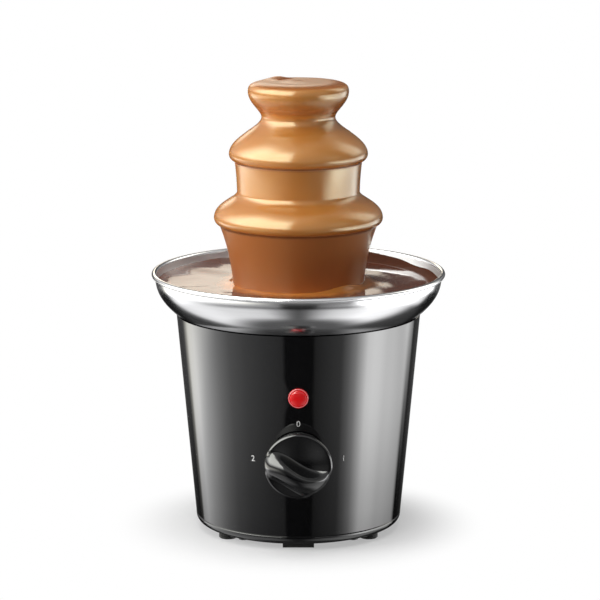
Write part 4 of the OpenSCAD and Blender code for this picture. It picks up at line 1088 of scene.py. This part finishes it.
class FOUNTAIN_OT_fasteners(bpy.types.Operator):
    """Finish the screws, nuts, studs and spacers"""

    bl_idname = "fountain.fasteners"
    bl_label = "Fasteners"

    def execute(self, context):
        zinc = plated("Bright zinc", paint("zinc"), 0.22)
        coat_nodes(plated("Blackened steel", (0.03, 0.03, 0.03), 0.4), "cover_screws")
        coat_nodes(zinc, "tower_studs", "stud_nuts", "clamp_spacers", "clamp_screws",
                   "bracket_screws", "case_screws", "motor_screws", "switch_nut")
        return {"FINISHED"}


# Studio: brightness that reflections find at each azimuth, in degrees from the camera, positive to the right

BELOW = [
    (-180, 0.05), (-148, 0.05), (-139, 0.14), (-128, 1.1), (-107, 1.3), (-90, 1.25), (-70, 1.1), (-50, 1.05),
    (-31, 0.95), (-17, 0.5), (-8, 0.2), (0, 0.1), (8, 0.2), (15, 0.42), (31, 0.92), (49, 1.2), (71, 1.6),
    (100, 1.45), (111, 1.1), (123, 0.35), (132, 0.08), (150, 0.05), (180, 0.05),
]
LEVEL = [
    (-180, 0.8), (-172, 0.8), (-169, 0.03), (-138, 0.03), (-134, 2.2), (-122, 4.3), (-112, 4.0), (-100, 3.3),
    (-85, 2.05), (-71, 1.2), (-53, 0.75), (-34, 0.5), (-16, 0.33), (-13, 0.03), (14, 0.03), (17, 0.22),
    (43, 0.58), (51, 1.6), (58, 3.1), (65, 6.1), (72, 9.4), (80, 9.7), (88, 8.7), (96, 6.9), (106, 5.8),
    (117, 4.1), (129, 2.5), (131, 2.0), (136, 0.03), (168, 0.03), (171, 0.8), (180, 0.8),
]
TOWER = [
    (-180, 0.1), (-155, 0.1), (-138, 0.3), (-60, 0.3), (-17, 0.3), (-11, 0.2), (12, 0.2), (44, 0.3), (51, 3.3),
    (62, 6.0), (85, 5.4), (110, 3.8), (128, 4.4), (145, 0.1), (180, 0.1),
]
ABOVE = [
    (-180, 0.1), (-158, 0.1), (-145, 0.9), (-95, 0.9), (-60, 0.9), (-14, 0.9), (14, 0.9), (55, 0.7), (80, 0.45),
    (110, 0.5), (135, 0.6), (150, 0.3), (168, 0.1), (180, 0.1),
]
BRIGHTEST = 10.0

# Where one ring of the surround gives way to the next, as sines of the elevation

BELOW_LEVEL = (-0.57, -0.46)
LEVEL_TOWER = (-0.32, -0.24)
TOWER_ABOVE = (-0.06, 0.05)
GROUND_BELOW = (-0.97, -0.83)
GROUND = 0.13

# The level ring fades towards its foot, which lies lower at the front than at the back

FADE = (-0.46, -0.395)
FADED = 0.4
FADE_RISE = 0.174

# Soft boxes: left and right side in degrees, foot and top as sines, each with its softness, then level and colour

CREAM = (0.99, 1.0, 0.94)
PALE = (1.0, 0.98, 0.88)
BEIGE = (1.0, 0.91, 0.76)
SOFT_BOXES = [
    ((-112, 26), (-13, 1.5), (0.1, 0.14), (0.92, 0.1), 9.0, CREAM),
    ((-137, 9), (-45, 32), (-0.3, 0.04), (-0.12, 0.04), 3.0, PALE),
    ((48, 8), (78, 8), (0.3, 0.2), (0.6, 0.2), 0.7, PALE),
    ((104, 6), (136, 6), (0.2, 0.15), (0.75, 0.15), 2.4, PALE),
    ((-186, 1), (-158, 6), (0.158, 0.012), (0.36, 0.08), 2.5, BEIGE),
    ((178.4, 0.3), (186, 1), (0.158, 0.012), (0.36, 0.08), 1.9, BEIGE),
]
AMBIENT = (0.16, 0.16, 0.16, 1)
WHITE = (1, 1, 1, 1)

# Lamps: azimuth and elevation in degrees, distance, size and power

LAMPS = {
    "key_lamp": (-80, 10, 1.5, 0.9, 18.5),
    "top_lamp": (0, 84, 1.5, 0.9, 10.5),
    "front_lamp": (-20, 55, 1.5, 0.8, 4.5),
}
LAMP_AIM = Vector((0, 0, 0.17))

# Floor: half its width, the radii between which its shade turns to white, and how white it is near the object

FLOOR_REACH = 4.0
SHADE_EDGE = (65 * MM, 120 * MM)
SHADE_WHITE = 0.4
FLOOR_GREY = (0.9, 0.9, 0.9, 1)

CAMERA_PLACE = (0.0010, -1.760, 0.4964)
CAMERA_DIP = math.radians(11.29)
CAMERA_LENS = 171.3
CAMERA_SENSOR = 36
CAMERA_END = 20


def edge_of(tree, value, place, softness):
    """Result socket of a soft edge at a place: it rises there, or falls where the softness is negative."""
    return step(tree, value, place - softness, place + softness)


def ring_of(tree, turn, stops):
    """Result socket of a brightness that follows the azimuth."""
    shade = greys(tree, turn, [((angle + 180) / 360, level / BRIGHTEST) for angle, level in stops])
    return maths(tree, "MULTIPLY", shade, BRIGHTEST)


def studio_rings(tree, azimuth, height):
    """Brightness socket of the surround's rings, from the ground up."""
    turn = add(tree, "ShaderNodeMapRange", {"Value": azimuth, "From Min": -math.pi, "From Max": math.pi})
    below, level, tower, above = (
        ring_of(tree, turn.outputs["Result"], stops) for stops in (BELOW, LEVEL, TOWER, ABOVE))
    half_turn = maths(tree, "COSINE", maths(tree, "MULTIPLY", azimuth, 0.5))
    low = maths(tree, "SUBTRACT", height, spread(tree, half_turn, FADE_RISE, 0.0))
    level = maths(tree, "MULTIPLY", level, blend(tree, step(tree, low, *FADE), FADED, 1.0))
    rings = blend(tree, step(tree, height, *BELOW_LEVEL), below, level)
    rings = blend(tree, step(tree, height, *LEVEL_TOWER), rings, tower)
    rings = blend(tree, step(tree, height, *TOWER_ABOVE), rings, above)
    return blend(tree, step(tree, height, *GROUND_BELOW), GROUND, rings)


def soft_box(tree, azimuth, height, left, right, foot, top, level, hue):
    """Colour socket of one soft box."""
    (left, left_soft), (right, right_soft) = np.radians(left), np.radians(right)
    wide = maths(tree, "MULTIPLY", edge_of(tree, azimuth, left, left_soft),
                 edge_of(tree, azimuth, right, -right_soft))
    tall = maths(tree, "MULTIPLY", edge_of(tree, height, *foot), edge_of(tree, height, top[0], -top[1]))
    glow = maths(tree, "MULTIPLY", maths(tree, "MULTIPLY", wide, tall), level)
    return vector(tree, "SCALE", hue, Scale=glow)


def studio_world():
    """World: white behind the object, soft boxes and dark screens for reflections, an even glow for the rest."""
    world = bpy.data.worlds.new("Studio")
    world.use_nodes = True
    tree = world.node_tree
    tree.nodes.clear()
    part = parted(tree, add(tree, "ShaderNodeTexCoord").outputs["Generated"])
    height = part[2]
    azimuth = maths(tree, "ARCTAN2", part[0], maths(tree, "MULTIPLY", part[1], -1.0))
    rings = studio_rings(tree, azimuth, height)
    shine = joined(tree, rings, rings, rings)
    for box in SOFT_BOXES:
        glow = soft_box(tree, azimuth, height, *box)
        shine = add(tree, "ShaderNodeVectorMath", {0: shine, 1: glow}, operation="ADD").outputs["Vector"]
    path = add(tree, "ShaderNodeLightPath")
    seen = maths(tree, "ADD", path.outputs["Is Camera Ray"], path.outputs["Is Transmission Ray"], clamp=True)
    light = mix_colours(tree, path.outputs["Is Glossy Ray"], AMBIENT, shine)
    light = mix_colours(tree, seen, light, WHITE)
    back = add(tree, "ShaderNodeBackground", {"Color": light, "Strength": 1.0})
    add(tree, "ShaderNodeOutputWorld", {0: back.outputs[0]})
    return world


def floor_material():
    """Pale floor that keeps the shadow near the object, turns to white further off and is clear from below."""
    material = bpy.data.materials.new("Pale floor")
    material.use_nodes = True
    tree = material.node_tree
    tree.nodes.clear()
    far = blend(tree, step(tree, size_of(tree, place_on(tree)), *SHADE_EDGE), SHADE_WHITE, 1.0)
    path = add(tree, "ShaderNodeLightPath")
    seen = maths(tree, "ADD", path.outputs["Is Camera Ray"], path.outputs["Is Glossy Ray"])
    seen = maths(tree, "ADD", seen, path.outputs["Is Transmission Ray"], clamp=True)
    pale = add(tree, "ShaderNodeBsdfDiffuse", {"Color": FLOOR_GREY})
    white = add(tree, "ShaderNodeEmission", {"Color": WHITE, "Strength": 1.0})
    share = maths(tree, "MULTIPLY", far, seen)
    mix = add(tree, "ShaderNodeMixShader", {0: share, 1: pale.outputs[0], 2: white.outputs[0]})
    below = add(tree, "ShaderNodeNewGeometry").outputs["Backfacing"]
    clear = add(tree, "ShaderNodeBsdfTransparent")
    mix = add(tree, "ShaderNodeMixShader", {0: below, 1: mix.outputs[0], 2: clear.outputs[0]})
    add(tree, "ShaderNodeOutputMaterial", {0: mix.outputs[0]})
    return material


def area_lamp(name, azimuth, elevation, distance, size, power):
    """A soft lamp aimed at the tower, for diffuse light only."""
    data = bpy.data.lights.new(name, "AREA")
    data.shape = "SQUARE"
    data.size = size
    data.energy = power
    lamp = bpy.data.objects.new(name, data)
    a, e = math.radians(azimuth), math.radians(elevation)
    way = Vector((math.sin(a) * math.cos(e), -math.cos(a) * math.cos(e), math.sin(e)))
    lamp.location = LAMP_AIM + way * distance
    lamp.rotation_euler = way.to_track_quat("Z", "Y").to_euler()
    lamp.visible_camera = False
    lamp.visible_glossy = False
    bpy.context.scene.collection.objects.link(lamp)


class FOUNTAIN_OT_stage(bpy.types.Operator):
    """Set the floor, the lamps, the surroundings and the camera"""

    bl_idname = "fountain.stage"
    bl_label = "Studio"

    def execute(self, context):
        scene = context.scene
        scene.view_settings.view_transform = "Standard"
        scene.world = studio_world()
        corners = [(x * FLOOR_REACH, y * FLOOR_REACH, 0) for x, y in [(-1, -1), (1, -1), (1, 1), (-1, 1)]]
        floor = mesh_piece("floor", corners, [(0, 1, 2, 3)])
        floor.data.materials.append(floor_material())
        floor.visible_glossy = False
        for name, values in LAMPS.items():
            area_lamp(name, *values)
        lens = bpy.data.cameras.new("camera")
        lens.lens = CAMERA_LENS
        lens.sensor_width = CAMERA_SENSOR
        lens.clip_end = CAMERA_END
        camera = bpy.data.objects.new("camera", lens)
        camera.location = CAMERA_PLACE
        camera.rotation_euler = (math.pi / 2 - CAMERA_DIP, 0, 0)
        scene.collection.objects.link(camera)
        scene.camera = camera
        return {"FINISHED"}


STEPS = (FOUNTAIN_OT_stage, FOUNTAIN_OT_housing, FOUNTAIN_OT_bowl, FOUNTAIN_OT_pool, FOUNTAIN_OT_flow,
         FOUNTAIN_OT_swirl, FOUNTAIN_OT_knob, FOUNTAIN_OT_lamp, FOUNTAIN_OT_numbers, FOUNTAIN_OT_tower,
         FOUNTAIN_OT_drive, FOUNTAIN_OT_heater, FOUNTAIN_OT_fasteners)


class FOUNTAIN_PT_sidebar(bpy.types.Panel):
    """Lists the fountain's pieces and settings"""

    bl_idname = "FOUNTAIN_PT_sidebar"
    bl_label = "Chocolate Fountain"
    bl_space_type = "VIEW_3D"
    bl_region_type = "UI"
    bl_category = "Fountain"

    def draw(self, context):
        for piece in STEPS:
            self.layout.operator(piece.bl_idname)
        for group, kind in SETTINGS.items():
            box = self.layout.box()
            for name in kind.__annotations__:
                box.prop(getattr(context.scene, group), name)


SETTINGS = {"fountain_flow": FountainFlow, "fountain_bowl": FountainBowl, "fountain_knob": FountainKnob,
            "fountain_colours": FountainColours}


def register():
    """Adds the settings, operators and panel."""
    for kind in (*SETTINGS.values(), *STEPS, FOUNTAIN_PT_sidebar):
        bpy.utils.register_class(kind)
    for name, kind in SETTINGS.items():
        setattr(bpy.types.Scene, name, PointerProperty(type=kind))


def unregister():
    """Takes the settings, operators and panel away."""
    for name in SETTINGS:
        delattr(bpy.types.Scene, name)
    for kind in (FOUNTAIN_PT_sidebar, *reversed(STEPS), *SETTINGS.values()):
        bpy.utils.unregister_class(kind)


def main():
    """Dresses the fountain."""
    register()
    bpy.ops.fountain.stage()
    bpy.ops.fountain.housing()
    bpy.ops.fountain.bowl()
    bpy.ops.fountain.pool()
    bpy.ops.fountain.flow()
    bpy.ops.fountain.swirl()
    bpy.ops.fountain.knob()
    bpy.ops.fountain.lamp()
    bpy.ops.fountain.numbers()
    bpy.ops.fountain.tower()
    bpy.ops.fountain.drive()
    bpy.ops.fountain.heater()
    bpy.ops.fountain.fasteners()


if __name__ == "__main__":
    main()
